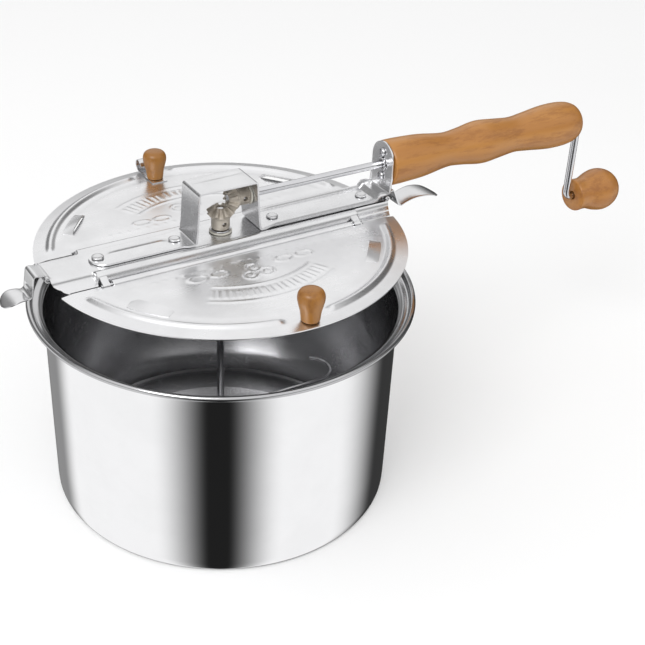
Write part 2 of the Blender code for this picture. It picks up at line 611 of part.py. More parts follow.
def make_crank(crank):
    height = over(ROD_HEIGHT)
    low = height - ARM_LENGTH
    path = [(4.6, height), (150.0, height), (ARM_X - ARM_BEND, height)]
    path += arc((ARM_X - ARM_BEND, height - ARM_BEND), ARM_BEND, 75, 0, 5)
    path += arc((ARM_X + ARM_BEND, low + ARM_BEND), ARM_BEND, 180, 270, 6)
    path += [(KNOB_X + 26.0, low)]
    rod = finish("crank_rod", wire_mesh("crank_rod", [(x, 0, z) for x, z in path], ROD_RADIUS, 12),
                 "wire", parent=crank)
    cut(rod, "pin_hole", rod_mesh("drill", GEAR_PIN_HOLE, -6, 6, (GEAR_PIN_PLACE, 0, height), "Y"))
    facing = Matrix.Rotation(-math.pi / 2, 4, "Y")
    make_gear("crank_gear", (0, 0, height), facing, 0.5, ROD_RADIUS + GAP, crank)
    mesh = rod_mesh("pin", GEAR_PIN, -5.0, 5.0, (GEAR_PIN_PLACE, 0, height), "Y")
    finish("crank_gear_pin", mesh, "wire", parent=crank)


def make_knob(knob):
    """Pear-shaped crank knob that spins on the rod's end."""
    shape = ((0, 10.6), (1.2, 11.6), (6.0, 11.5), (11.0, 12.0), (17.0, 14.2), (24.0, 15.5), (31.0, 14.0),
             (36.0, 10.4), (38.8, 5.6))
    outer = smooth_profile(shape, 2)
    bore = ROD_RADIUS + GAP + 0.1
    profile = [(bore, 0)] + [(r, x) for x, r in outer] + [(0, KNOB_LENGTH), (0, 27.5), (bore, 27.5)]
    height = over(ROD_HEIGHT) - ARM_LENGTH
    mesh = turned_mesh("crank_knob", [(r, KNOB_X + x) for r, x in profile], 24, "X", (0, 0, height))
    finish("crank_knob", mesh, "wood", parent=knob)


# ---------------------------------------------------------------- stirrer

def make_stirrer(stirrer):
    apex = over(ROD_HEIGHT)
    shaft = finish("stirrer_shaft",
                   rod_mesh("shaft", SHAFT_RADIUS, over(SHAFT_FOOT), apex - 5.4, segments=16),
                   "wire", parent=stirrer)
    pin_height = apex - GEAR_PIN_PLACE
    cut(shaft, "pin_hole", rod_mesh("drill", GEAR_PIN_HOLE, -6, 6, (0, 0, pin_height), "Y"))
    cross = over(SHAFT_FOOT + 3.0)
    cut(shaft, "wire_hole", rod_mesh("drill", WIRE_RADIUS + GAP, -6, 6, (0, 0, cross), "X"))
    make_gear("stirrer_gear", (0, 0, apex), Matrix.Identity(4), 0.0, SHAFT_RADIUS + GAP, stirrer)
    mesh = rod_mesh("pin", GEAR_PIN, -5.0, 5.0, (0, 0, pin_height), "Y")
    finish("stirrer_gear_pin", mesh, "wire", parent=stirrer)
    ring = [(SHAFT_RADIUS + GAP, 3.8), (6.6, 3.8), (6.6, 4.5), (SHAFT_RADIUS + GAP, 4.5)]
    finish("thrust_washer", turned_mesh("ring", [(r, over(z)) for r, z in ring], 18), "wire", parent=stirrer)
    ring = [(SHAFT_RADIUS + GAP, -3.2), (5.4, -3.2), (5.4, -2.2), (SHAFT_RADIUS + GAP, -2.2)]
    finish("shaft_retainer", turned_mesh("ring", [(r, over(z)) for r, z in ring], 18), "wire", parent=stirrer)

    drop = 1.4
    arm = [(8.0, 0.0, 0.0), (16.0, 0.0, -drop), (48.0, 0.0, -drop)]
    hook = arc((WIRE_REACH, WIRE_HOOK), WIRE_HOOK, -90, 60, 8)
    arm += [(x, y, -drop) for x, y in hook]
    other = [(-x, -y, z) for x, y, z in reversed(arm)]
    points = [(x, y, cross + z) for x, y, z in other + arm]
    finish("stirrer_wire", wire_mesh("stirrer_wire", points, WIRE_RADIUS, 8), "wire", parent=stirrer)


# ---------------------------------------------------------------- clips

def make_clip(name, end, swing, tongue, parent):
    """Bent spring clip: a curl round its pin, an arm over the lip, a plate, a catch and a tongue."""
    curl = arc((0, 0), CLIP_CURL, 20, -270, 14)
    plate_x = 7.6
    path = [(x, z, CLIP_HALF) for x, z in curl]
    path += [(x, z, CLIP_HALF) for x, z in arc((plate_x - 1.8, CLIP_CURL - 1.8), 1.8, 85, 0, 4)]
    path += [(plate_x, -10.6, CLIP_HALF)]
    path += [(x, z, CLIP_HALF) for x, z in arc((plate_x + 2.4, -10.6), 2.4, 200, 275, 4)]
    x, z = path[-1][:2]
    half = 9.0
    steps = 10
    for step in range(1, steps + 1):
        share = step / steps
        slope = math.radians(8.0 - 62.0 * share)
        x += tongue / steps * math.cos(slope)
        z += tongue / steps * math.sin(slope)
        past = max(0.0, (tongue * share - (tongue - half)) / half)
        width = CLIP_HALF + (half - CLIP_HALF) * min(1.0, 2 * share)
        path.append((x, z, max(1.5, width * math.sqrt(1 - past ** 2))))
    mesh = strip_mesh(name, path, CLIP_SHEET)
    catch = [(plate_x - 0.2, -6.6), (plate_x - 1.8, -7.4), (plate_x - 1.9, -8.2), (plate_x - 0.2, -9.4)]
    bump = prism_mesh("catch", catch, -5.0, 5.0, "Y")
    turn = Matrix.Rotation(math.radians(-swing), 4, "Y")
    flip = Matrix.Rotation(math.pi, 4, "Z") if end < 0 else Matrix.Identity(4)
    place = Matrix.Translation(Vector((end * CLIP_X, 0, over(CLIP_HEIGHT))) * MM) @ flip @ turn
    mesh.transform(place)
    bump.transform(place)
    clip = finish(name, mesh, "bright", smooth=False, parent=parent)
    join(clip, "catch", bump)


# ---------------------------------------------------------------- assembly

def build():
    for obj in list(bpy.data.objects):
        bpy.data.objects.remove(obj, do_unlink=True)

    make_pot()
    frame = joint_empty("lid_frame_axis", (0, 0, LID_TOP))
    make_bridge(frame)
    make_strap(frame)
    make_rivets(frame)
    make_frame_bushes(frame)
    make_grip(frame)
    make_hinge_wires(frame)

    front = joint_empty("front_leaf_axis", (0, -HINGE_Y, over(HINGE_HEIGHT)), frame)
    make_leaf("front_leaf", -1, FRONT_KNOB_R, front)
    make_lid_knob("front_knob", -1, FRONT_KNOB_R, LEAF_TOP + GAP, front)
    rear = joint_empty("rear_leaf_axis", (0, HINGE_Y, over(HINGE_HEIGHT)), frame)
    make_leaf("rear_leaf", 1, REAR_KNOB_R, rear)
    make_rear_catch(rear)
    make_lid_knob("rear_knob", 1, REAR_KNOB_R, LEAF_TOP + 1.2, rear)

    crank = joint_empty("crank_axis", (0, 0, over(ROD_HEIGHT)), frame)
    make_crank(crank)
    knob = joint_empty("crank_knob_axis", (KNOB_X, 0, over(ROD_HEIGHT) - ARM_LENGTH), crank)
    make_knob(knob)
    stirrer = joint_empty("stirrer_axis", (0, 0, LID_TOP), frame)
    make_stirrer(stirrer)

    left = joint_empty("left_clip_axis", (-CLIP_X, 0, over(CLIP_HEIGHT)), frame)
    make_clip("left_clip", -1, LEFT_SWING, LEFT_TONGUE, left)
    right = joint_empty("right_clip_axis", (CLIP_X, 0, over(CLIP_HEIGHT)), frame)
    make_clip("right_clip", 1, RIGHT_SWING, RIGHT_TONGUE, right)


build()
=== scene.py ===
"""Looks of the stovetop popcorn maker: its sheet metal, wood, gears and wires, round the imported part.

Lengths are millimetres in the code and metres in the scene; MM turns one into the other.
Heights "above the lid" count from the lid datum, 2 mm under the bridge's top face.
"""
import math

import bpy
from mathutils import Matrix, Vector


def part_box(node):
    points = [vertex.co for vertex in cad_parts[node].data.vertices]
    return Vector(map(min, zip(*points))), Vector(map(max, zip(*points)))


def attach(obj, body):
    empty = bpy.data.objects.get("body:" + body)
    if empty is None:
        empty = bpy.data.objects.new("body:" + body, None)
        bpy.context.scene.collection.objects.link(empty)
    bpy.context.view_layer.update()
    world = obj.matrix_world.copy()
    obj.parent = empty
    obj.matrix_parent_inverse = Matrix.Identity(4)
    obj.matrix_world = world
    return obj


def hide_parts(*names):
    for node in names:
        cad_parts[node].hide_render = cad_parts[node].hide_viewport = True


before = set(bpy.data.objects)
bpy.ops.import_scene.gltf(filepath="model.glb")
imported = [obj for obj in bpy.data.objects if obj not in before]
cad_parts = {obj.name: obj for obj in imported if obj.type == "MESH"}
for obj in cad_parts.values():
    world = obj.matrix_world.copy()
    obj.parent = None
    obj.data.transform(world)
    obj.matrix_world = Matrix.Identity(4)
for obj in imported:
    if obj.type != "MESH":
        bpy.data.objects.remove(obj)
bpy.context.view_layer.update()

MM = 0.001
GAP = 0.3


def middle(node):
    """Middle of a node's box, in millimetres."""
    low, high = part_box(node)
    return (low + high) / 2 / MM


CLIP_PIN_HEIGHT = 2.2                          # above the lid
LID = middle("right_clip_pin").z - CLIP_PIN_HEIGHT
LEAF = -3.0                                    # top face of the leaves, above the lid
HINGE_Y = middle("rear_hinge_wire").y
HINGE_HEIGHT = LEAF - 0.4                      # above the lid
HINGE_Z = LID + HINGE_HEIGHT
ROD_Z = middle("handle_grip").z
ARM_Z = middle("crank_knob").z
CLIP_PIN_X = middle("right_clip_pin").x
CLIP_PIN_Z = middle("right_clip_pin").z
FRONT_KNOB_Y = middle("front_knob").y
REAR_KNOB_Y = middle("rear_knob").y
BRIDGE_TOP = 2.0
STRAP_SHEET = 1.2
STRAP_MID = BRIDGE_TOP + GAP + STRAP_SHEET / 2
STRAP_HALF = 11.7
TIP_HALF = 10.0                                # half width of the strap's round tip
PLATE_X = 120                                  # the plate behind the grip
RIVETS = (-83.0, -32.0, 37.0, 104.0)
BOX_TOP = 36.5                                 # top of the gear box, above the lid
LEAF_SHEET = 0.8
BRIDGE_SHEET = 1.0
CATCH_SHEET = 0.6
CLIP_SHEET = 0.8
CLIP_HALF = 7.6
FRONT_KNOB_FOOT = LEAF + GAP
REAR_KNOB_FOOT = LEAF + 1.2                    # on top of the catch
GEAR_PIN_REACH = 14.6                          # from the point where the gears' axes meet
GRIP_START = 121.2
SCREW_REACH = 8.2                              # grip screws, above and below the rod
TEETH = 8


def over(height):
    """Height in the frame of a point given above the lid."""
    return LID + height


# ---- modelling

def leave_edit():
    if bpy.context.object and bpy.context.object.mode != "OBJECT":
        bpy.ops.object.mode_set(mode="OBJECT")
    bpy.ops.object.select_all(action="DESELECT")


def activate(obj):
    leave_edit()
    obj.select_set(True)
    bpy.context.view_layer.objects.active = obj


def edit(obj, mode="VERT"):
    activate(obj)
    bpy.ops.object.mode_set(mode="EDIT")
    bpy.ops.mesh.select_mode(type=mode)
    bpy.ops.mesh.select_all(action="DESELECT")


def grab_all():
    bpy.ops.mesh.select_all(action="SELECT")


def named(name):
    obj = bpy.context.object
    obj.name = name
    obj.data.name = name
    return obj


def move(value):
    bpy.ops.transform.translate(value=Vector(value) * MM)


def scale(value, centre=(0, 0, 0)):
    bpy.ops.transform.resize(value=value, center_override=Vector(centre) * MM)


def settle(obj):
    """Put the object's place, turn and size into its mesh."""
    activate(obj)
    bpy.ops.object.transform_apply(location=True, rotation=True, scale=True)


def modify(obj, kind, **settings):
    """Add a modifier and apply it."""
    activate(obj)
    modifier = obj.modifiers.new(kind.lower(), kind)
    for key, value in settings.items():
        setattr(modifier, key, value)
    bpy.ops.object.modifier_apply(modifier=modifier.name)


def clean(obj, distance=0.004):
    edit(obj)
    grab_all()
    bpy.ops.mesh.remove_doubles(threshold=distance * MM)
    bpy.ops.mesh.normals_make_consistent(inside=False)
    bpy.ops.object.mode_set(mode="OBJECT")


def smooth(obj, angle=40):
    activate(obj)
    bpy.ops.object.shade_smooth_by_angle(angle=math.radians(angle))
    leave_edit()


def merged(name, pieces):
    """Join finished pieces into one object."""
    leave_edit()
    for piece in pieces:
        piece.select_set(True)
    bpy.context.view_layer.objects.active = pieces[0]
    if len(pieces) > 1:
        bpy.ops.object.join()
    return named(name)


def copied(obj, name):
    """A copy of a finished piece with a mesh of its own."""
    activate(obj)
    bpy.ops.object.duplicate(linked=False)
    return named(name)


def cut_away(obj, tool, solver="MANIFOLD"):
    modify(obj, "BOOLEAN", operation="DIFFERENCE", solver=solver, object=tool)
    bpy.data.objects.remove(tool, do_unlink=True)


def arc(centre, radius, start, end, steps):
    """Points on a circle, angles in degrees."""
    points = []
    for i in range(steps + 1):
        angle = math.radians(start + (end - start) * i / steps)
        points.append((centre[0] + radius * math.cos(angle), centre[1] + radius * math.sin(angle)))
    return points


def turned(name, outline, sides=96, along="Z", place=(0, 0, 0), closed=False):
    """Draw a circle and extrude it ring by ring through (radius, height) pairs about an axis."""
    leave_edit()
    least = 0.002
    rings = [(max(r, least), h) for r, h in outline]
    bpy.ops.mesh.primitive_circle_add(vertices=sides, radius=rings[0][0] * MM)
    obj = named(name)
    bpy.ops.object.mode_set(mode="EDIT")
    grab_all()
    move((0, 0, rings[0][1]))
    steps = list(zip(rings, rings[1:]))
    if closed:
        steps.append((rings[-1], rings[0]))
    for (r0, h0), (r1, h1) in steps:
        bpy.ops.mesh.extrude_edges_move(TRANSFORM_OT_translate={"value": (0, 0, (h1 - h0) * MM)})
        scale((r1 / r0, r1 / r0, 1))
    bpy.ops.object.mode_set(mode="OBJECT")
    clean(obj, 0.01)
    obj.rotation_euler = {"Z": (0, 0, 0), "X": (0, math.pi / 2, 0), "Y": (-math.pi / 2, 0, 0)}[along]
    obj.location = Vector(place) * MM
    settle(obj)
    return obj


def smooth_line(points, steps):
    """A smooth line through (position, radius) points."""
    result = []
    for i in range(len(points) - 1):
        before = points[max(i - 1, 0)]
        here, there = points[i], points[i + 1]
        after = points[min(i + 2, len(points) - 1)]
        slope_here = (there[1] - before[1]) / (there[0] - before[0])
        slope_there = (after[1] - here[1]) / (after[0] - here[0])
        span = there[0] - here[0]
        for k in range(steps):
            t = k / steps
            value = ((2 * t ** 3 - 3 * t ** 2 + 1) * here[1] + (t ** 3 - 2 * t ** 2 + t) * span * slope_here
                     + (3 * t ** 2 - 2 * t ** 3) * there[1] + (t ** 3 - t ** 2) * span * slope_there)
            result.append((here[0] + t * span, value))
    result.append(points[-1])
    return result


def sheet(name, rows):
    """A grid pulled to shape: rows of points along a sheet, each row running across it."""
    leave_edit()
    along, across = len(rows) - 1, len(rows[0]) - 1
    bpy.ops.mesh.primitive_grid_add(x_subdivisions=along, y_subdivisions=across, size=2)
    obj = named(name)
    for vertex in obj.data.vertices:
        row = rows[round((vertex.co.x + 1) / 2 * along)]
        vertex.co = Vector(row[round((vertex.co.y + 1) / 2 * across)]) * MM
    obj.data.update()
    return obj


def prism(outline, low, high):
    """A cutter with a flat outline (x, y), from low to high."""
    leave_edit()
    bpy.ops.mesh.primitive_circle_add(vertices=len(outline), fill_type="NGON")
    obj = named("cutter")
    for vertex, point in zip(obj.data.vertices, outline):
        vertex.co = Vector((point[0], point[1], low)) * MM
    edit(obj, "FACE")
    grab_all()
    bpy.ops.mesh.extrude_region_move(TRANSFORM_OT_translate={"value": (0, 0, (high - low) * MM)})
    grab_all()
    bpy.ops.mesh.normals_make_consistent(inside=False)
    bpy.ops.object.mode_set(mode="OBJECT")
    return obj


def block(low, high):
    """A plain box used as a cutter, between two corners."""
    outline = [(low[0], low[1]), (high[0], low[1]), (high[0], high[1]), (low[0], high[1])]
    return prism(outline, low[2], high[2])


def wire(name, points, radius, sides=16):
    """A round wire along points: a bevelled curve made a mesh."""
    curve = bpy.data.curves.new(name, "CURVE")
    curve.dimensions = "3D"
    curve.bevel_depth = radius * MM
    curve.bevel_resolution = (sides - 4) // 2
    curve.use_fill_caps = True
    spline = curve.splines.new("POLY")
    spline.points.add(len(points) - 1)
    for target, point in zip(spline.points, points):
        target.co = (*(Vector(point) * MM), 1.0)
    obj = bpy.data.objects.new(name, curve)
    bpy.context.collection.objects.link(obj)
    activate(obj)
    bpy.ops.object.convert(target="MESH")
    obj = named(name)
    clean(obj, 0.002)
    return obj


def drill(radius, low, high, along="Z", place=(0, 0, 0), sides=32):
    """A plain bar used to cut a round hole, then thrown away."""
    return turned("drill", [(0, low), (radius, low), (radius, high), (0, high)], sides, along, place)


def thicken(obj, gauge, offset=0.0):
    modify(obj, "SOLIDIFY", thickness=gauge * MM, offset=offset, use_even_offset=True)


def soften(obj, width, segments=2, angle=40):
    modify(obj, "BEVEL", width=width * MM, segments=segments, limit_method="ANGLE",
           angle_limit=math.radians(angle), harden_normals=False)


def fade(value, low, high):
    """0 below low, 1 above high, and a smooth step between them."""
    t = min(1.0, max(0.0, (value - low) / (high - low)))
    return t * t * (3 - 2 * t)


def show(piece, angle, body, material, node):
    """Smooth a finished piece and give it its material, its body and the node it stands for."""
    smooth(piece, angle)
    piece.data.materials.clear()
    piece.data.materials.append(material)
    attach(piece, body)
    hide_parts(node)


# ---- finishes

class Nodes:
    """Short hand for wiring a node tree."""

    def __init__(self, tree):
        self.tree = tree
        self.tree.nodes.clear()

    def add(self, kind, **settings):
        node = self.tree.nodes.new(kind)
        for key, value in settings.items():
            if key == "inputs":
                self.feed(node, value)
            else:
                setattr(node, key, value)
        return node

    def feed(self, node, inputs):
        """Link or set each named input of a node."""
        for socket, given in inputs.items():
            if hasattr(given, "is_output"):
                self.tree.links.new(given, node.inputs[socket])
            else:
                node.inputs[socket].default_value = given

    def math(self, operation, a, b=0.0, clamp=False):
        return self.add("ShaderNodeMath", operation=operation, use_clamp=clamp,
                        inputs={0: a, 1: b}).outputs[0]

    def ramp(self, value, *stops):
        node = self.add("ShaderNodeValToRGB", inputs={0: value})
        elements = node.color_ramp.elements
        while len(elements) < len(stops):
            elements.new(0.5)
        for element, (position, shade) in zip(elements, stops):
            element.position = position
            colour = shade if isinstance(shade, tuple) else (shade, shade, shade)
            element.color = (*colour, 1.0)
        return node.outputs[0]


def new_group(name, inputs, outputs):
    """An empty shader node group with named value or colour sockets."""
    tree = bpy.data.node_groups.new(name, "ShaderNodeTree")
    kinds = {"value": "NodeSocketFloat", "colour": "NodeSocketColor", "vector": "NodeSocketVector"}
    for label, kind, default in inputs:
        socket = tree.interface.new_socket(name=label, in_out="INPUT", socket_type=kinds[kind])
        if default is not None:
            socket.default_value = default
    for label, kind in outputs:
        tree.interface.new_socket(name=label, in_out="OUTPUT", socket_type=kinds[kind])
    nodes = Nodes(tree)
    start = nodes.add("NodeGroupInput")
    end = nodes.add("NodeGroupOutput")
    return tree, nodes, start, end


def handling_group():
    """Faint smudges and short scratches that handled metal picks up."""
    inputs = (("Place", "vector", None), ("Smudge size", "value", 30.0), ("Scratch size", "value", 400.0))
    tree, nodes, start, end = new_group("handling", inputs, (("Smudge", "value"), ("Scratch", "value")))
    smudge = nodes.add("ShaderNodeTexNoise", inputs={
        "Vector": start.outputs["Place"], "Scale": start.outputs["Smudge size"],
        "Detail": 4.0, "Roughness": 0.6})
    soft = nodes.ramp(smudge.outputs["Fac"], (0.38, 0.0), (0.68, 1.0))
    wave = nodes.add("ShaderNodeTexNoise", inputs={
        "Vector": start.outputs["Place"], "Scale": start.outputs["Scratch size"], "Detail": 2.0,
        "Distortion": 1.2})
    line = nodes.ramp(wave.outputs["Fac"], (0.485, 0.0), (0.5, 1.0), (0.515, 0.0))
    nodes.feed(end, {"Smudge": soft, "Scratch": line})
    return tree


def grain_group():
    """Rolling lines of sheet metal, drawn out along one direction of Place."""
    inputs = (("Place", "vector", None), ("Fineness", "value", 900.0))
    tree, nodes, start, end = new_group("rolling_grain", inputs, (("Line", "value"),))
    fine = nodes.add("ShaderNodeTexNoise", inputs={
        "Vector": start.outputs["Place"], "Scale": start.outputs["Fineness"],
        "Detail": 3.0, "Roughness": 0.7})
    nodes.feed(end, {"Line": fine.outputs["Fac"]})
    return tree


def wood_group():
    """Grain of turned wood: growth bands, fine pores and colour drift."""
    inputs = (("Place", "vector", None), ("Pale", "colour", (0.6, 0.3, 0.1, 1)),
              ("Deep", "colour", (0.4, 0.2, 0.1, 1)))
    tree, nodes, start, end = new_group("turned_wood", inputs,
                                        (("Colour", "colour"), ("Pore", "value"), ("Band", "value")))
    place = start.outputs["Place"]
    drift = nodes.add("ShaderNodeTexNoise", inputs={"Vector": place, "Scale": 9.0, "Detail": 3.0,
                                                    "Distortion": 0.4})
    bands = nodes.add("ShaderNodeTexWave", wave_type="BANDS", bands_direction="Z", inputs={
        "Vector": place, "Scale": 26.0, "Distortion": 6.0, "Detail": 2.5, "Detail Scale": 1.2})
    band = nodes.ramp(bands.outputs["Fac"], (0.15, 0.0), (0.85, 1.0))
    pores = nodes.add("ShaderNodeTexNoise", inputs={"Vector": place, "Scale": 170.0, "Detail": 4.0,
                                                    "Roughness": 0.75})
    pore = nodes.ramp(pores.outputs["Fac"], (0.36, 1.0), (0.50, 0.0))
    share = nodes.math("ADD", nodes.math("MULTIPLY", band, 0.42),
                       nodes.math("MULTIPLY", drift.outputs["Fac"], 0.58),
                       clamp=True)
    mix = nodes.add("ShaderNodeMix", data_type="RGBA", inputs={
        0: share, 6: start.outputs["Pale"], 7: start.outputs["Deep"]})
    dark = nodes.add("ShaderNodeMix", data_type="RGBA", blend_type="MULTIPLY", inputs={
        0: nodes.math("MULTIPLY", pore, 0.35), 6: mix.outputs[2], 7: (0.45, 0.30, 0.20, 1)})
    nodes.feed(end, {"Colour": dark.outputs[2], "Pore": pore, "Band": band})
    return tree


HANDLING = handling_group()
GRAIN = grain_group()
WOOD = wood_group()


def start_material(name, stretch=(1, 1, 1), turn=(0, 0, 0)):
    """A material with its shader, its plain place on the piece and that place stretched and turned."""
    material = bpy.data.materials.new(name)
    material.use_nodes = True
    nodes = Nodes(material.node_tree)
    output = nodes.add("ShaderNodeOutputMaterial")
    shader = nodes.add("ShaderNodeBsdfPrincipled")
    nodes.tree.links.new(shader.outputs[0], output.inputs[0])
    place = nodes.add("ShaderNodeTexCoord").outputs["Object"]
    stretched = nodes.add("ShaderNodeMapping", inputs={
        "Vector": place, "Scale": stretch, "Rotation": turn}).outputs[0]
    return material, nodes, shader, place, stretched


def metal(name, colour, gloss, stretch=(1, 1, 1), fineness=900.0, grain=0.06, smudge=0.05, scratch=0.04,
          lift=0.02, fade_colour=0.92):
    """Bare metal with rolling lines, smudges and scratches; gloss is its clean roughness."""
    material, nodes, shader, place, stretched = start_material(name, stretch)
    lines = nodes.add("ShaderNodeGroup", node_tree=GRAIN, inputs={"Place": stretched, "Fineness": fineness})
    marks = nodes.add("ShaderNodeGroup", node_tree=HANDLING, inputs={"Place": place})
    line = nodes.math("MULTIPLY", nodes.math("SUBTRACT", lines.outputs[0], 0.5), grain)
    worn = nodes.math("ADD", nodes.math("MULTIPLY", marks.outputs["Smudge"], smudge),
                      nodes.math("MULTIPLY", marks.outputs["Scratch"], scratch))
    rough = nodes.math("ADD", nodes.math("ADD", line, worn), gloss, clamp=True)
    tint = nodes.add("ShaderNodeMix", data_type="RGBA", inputs={
        0: marks.outputs["Smudge"], 6: (*colour, 1), 7: (*[c * fade_colour for c in colour], 1)})
    bump = nodes.add("ShaderNodeBump", inputs={"Strength": lift, "Distance": 0.0002,
                                               "Height": lines.outputs[0]})
    nodes.feed(shader, {"Metallic": 1.0, "Base Color": tint.outputs[2], "Roughness": rough,
                        "Normal": bump.outputs[0]})
    return material


def wood(name, pale, deep, stretch, turn=(0, 0, 0), gloss=0.36):
    """Lacquered turned wood, grain along the stretched direction."""
    material, nodes, shader, _, stretched = start_material(name, stretch, turn)
    timber = nodes.add("ShaderNodeGroup", node_tree=WOOD, inputs={
        "Place": stretched, "Pale": (*pale, 1), "Deep": (*deep, 1)})
    rough = nodes.math("ADD", nodes.math("MULTIPLY", timber.outputs["Pore"], 0.12), gloss)
    height = nodes.math("SUBTRACT", nodes.math("MULTIPLY", timber.outputs["Band"], 0.25),
                        timber.outputs["Pore"])
    bump = nodes.add("ShaderNodeBump", inputs={"Strength": 0.12, "Distance": 0.0002, "Height": height})
    nodes.feed(shader, {"Base Color": timber.outputs["Colour"], "Roughness": rough,
                        "Normal": bump.outputs[0], "Coat Weight": 0.25, "Coat Roughness": 0.22})
    return material


def cast(name, colour, dark):
    """Dull cast metal: pitted skin, with darker cloudy patches spread at random."""
    material, nodes, shader, place = start_material(name)[:4]
    skin = nodes.add("ShaderNodeTexNoise", inputs={"Vector": place, "Scale": 900.0, "Detail": 4.0})
    cloud = nodes.add("ShaderNodeTexNoise", inputs={"Vector": place, "Scale": 160.0, "Detail": 3.0})
    tint = nodes.add("ShaderNodeMix", data_type="RGBA", inputs={
        0: nodes.ramp(cloud.outputs["Fac"], (0.40, 0.0), (0.66, 1.0)), 6: (*colour, 1), 7: (*dark, 1)})
    rough = nodes.math("ADD", nodes.math("MULTIPLY", skin.outputs["Fac"], 0.25), 0.38)
    bump = nodes.add("ShaderNodeBump", inputs={"Strength": 0.35, "Distance": 0.0003,
                                               "Height": skin.outputs["Fac"]})
    nodes.feed(shader, {"Metallic": 0.35, "Base Color": tint.outputs[2], "Roughness": rough,
                        "Normal": bump.outputs[0]})
    return material


def plastic(name, colour, dark):
    """Waxy moulded plastic with a little colour drift."""
    material, nodes, shader, place = start_material(name)[:4]
    cloud = nodes.add("ShaderNodeTexNoise", inputs={"Vector": place, "Scale": 200.0, "Detail": 3.0})
    tint = nodes.add("ShaderNodeMix", data_type="RGBA", inputs={0: cloud.outputs["Fac"], 6: (*colour, 1),
                                                                7: (*dark, 1)})
    rough = nodes.math("ADD", nodes.math("MULTIPLY", cloud.outputs["Fac"], 0.2), 0.35)
    nodes.feed(shader, {"Base Color": tint.outputs[2], "Roughness": rough})
    return material


MIRROR = metal("mirror_steel", (0.90, 0.90, 0.91), 0.055, stretch=(1, 1, 14), fineness=60.0, grain=0.015,
               smudge=0.02, scratch=0.01, lift=0.0, fade_colour=0.97)
INSIDE = metal("pot_inside_steel", (0.50, 0.50, 0.51), 0.20, stretch=(1, 1, 14), fineness=120.0, grain=0.10,
               smudge=0.06, lift=0.03)
LIP = metal("lip_steel", (0.56, 0.56, 0.57), 0.13, stretch=(1, 1, 14), fineness=120.0, grain=0.05,
            smudge=0.04, lift=0.02)
LEAF_STEEL = metal("leaf_steel", (0.86, 0.86, 0.87), 0.27, stretch=(0.04, 1, 1), fineness=700.0, grain=0.10,
             smudge=0.06, lift=0.05)
SATIN = metal("satin_steel", (0.82, 0.82, 0.83), 0.22, stretch=(0.04, 1, 1), fineness=900.0, grain=0.12,
              smudge=0.07, lift=0.05)
CLIP = metal("clip_steel", (0.80, 0.80, 0.81), 0.20, stretch=(1, 0.06, 1), fineness=900.0, grain=0.10)
DRAWN = metal("drawn_wire", (0.72, 0.72, 0.74), 0.16, stretch=(0.05, 1, 1), fineness=1200.0, grain=0.12)
SCREW_STEEL = metal("screw_steel", (0.66, 0.66, 0.68), 0.22, fineness=1500.0, grain=0.12, scratch=0.08)
UPRIGHT_STEEL = metal("upright_rod_steel", (0.72, 0.72, 0.74), 0.16, stretch=(1, 1, 0.05), fineness=1200.0,
                      grain=0.12)
RIVET = metal("rivet_steel", (0.76, 0.76, 0.77), 0.24, fineness=1500.0, grain=0.14, scratch=0.1)
GEAR = cast("gear_metal", (0.56, 0.51, 0.44), (0.34, 0.30, 0.25))
NYLON = plastic("nylon", (0.62, 0.60, 0.54), (0.50, 0.48, 0.42))
GRIP_WOOD = wood("grip_wood", (0.48, 0.215, 0.045), (0.37, 0.148, 0.027), (0.22, 1, 1))
KNOB_WOOD = wood("knob_wood", (0.46, 0.20, 0.040), (0.36, 0.14, 0.024), (0.5, 1, 1), turn=(0.6, 0.3, 0.2))
LID_KNOB_WOOD = wood("lid_knob_wood", (0.35, 0.148, 0.020), (0.26, 0.104, 0.013), (1, 1, 0.4),
                     turn=(0.3, 0.1, 0.5))


# ---- pot

def make_pot():
    """Spun pot: mirror-bright body, stepped lip with a rolled bead, satin inside."""
    bead = (123.2, 139.0)
    outer = [(0, 0.9), (60, 0.9), (84, 0.35), (86, 0.0), (108.5, 0.0), (110.3, 0.05)]
    outer += arc((110.4, 2.75), 2.7, -80, -8, 8)
    outer += [(113.3, 6), (113.6, 30), (113.9, 70), (114.2, 110), (114.25, 124), (114.3, 129.5),
              (114.4, 131.4)]
    outer += arc((117.2, 131.6), 2.75, 180, 118, 6)
    outer += [(116.9, 134.9), (118.6, 135.4), (120.4, 135.8)]
    outer += arc(bead, 1.75, -122, 176, 22)
    inner = [(121.2, 138.1), (120.8, 137.3), (120.2, 136.95), (119.2, 136.85), (117.6, 136.8), (116.9, 136.5),
             (116.4, 135.9), (115.6, 135.4), (114.6, 134.6), (113.8, 133.4), (113.35, 131.8), (113.2, 129.6),
             (113.1, 110), (112.8, 60), (112.4, 20), (112.1, 6.0), (111.3, 3.2), (109.3, 1.6), (106.5, 1.2),
             (88, 1.2), (84, 1.5), (60, 1.9), (0, 1.9)]
    pot = turned("pot_shell", outer + inner, 192)
    pot.data.materials.append(MIRROR)
    pot.data.materials.append(INSIDE)
    pot.data.materials.append(LIP)
    for polygon in pot.data.polygons:
        radius = math.hypot(polygon.center.x, polygon.center.y) / MM
        height = polygon.center.z / MM
        if height > 135.2 or (radius > 114.5 and height > 131.5):
            polygon.material_index = 2
        elif radius < 114.0 and polygon.normal.z > -0.2 \
                and polygon.center.x * polygon.normal.x + polygon.center.y * polygon.normal.y <= 1e-4:
            polygon.material_index = 1
    smooth(pot, 32)
    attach(pot, "pot")
    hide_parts("pot")


# ---- wooden pieces

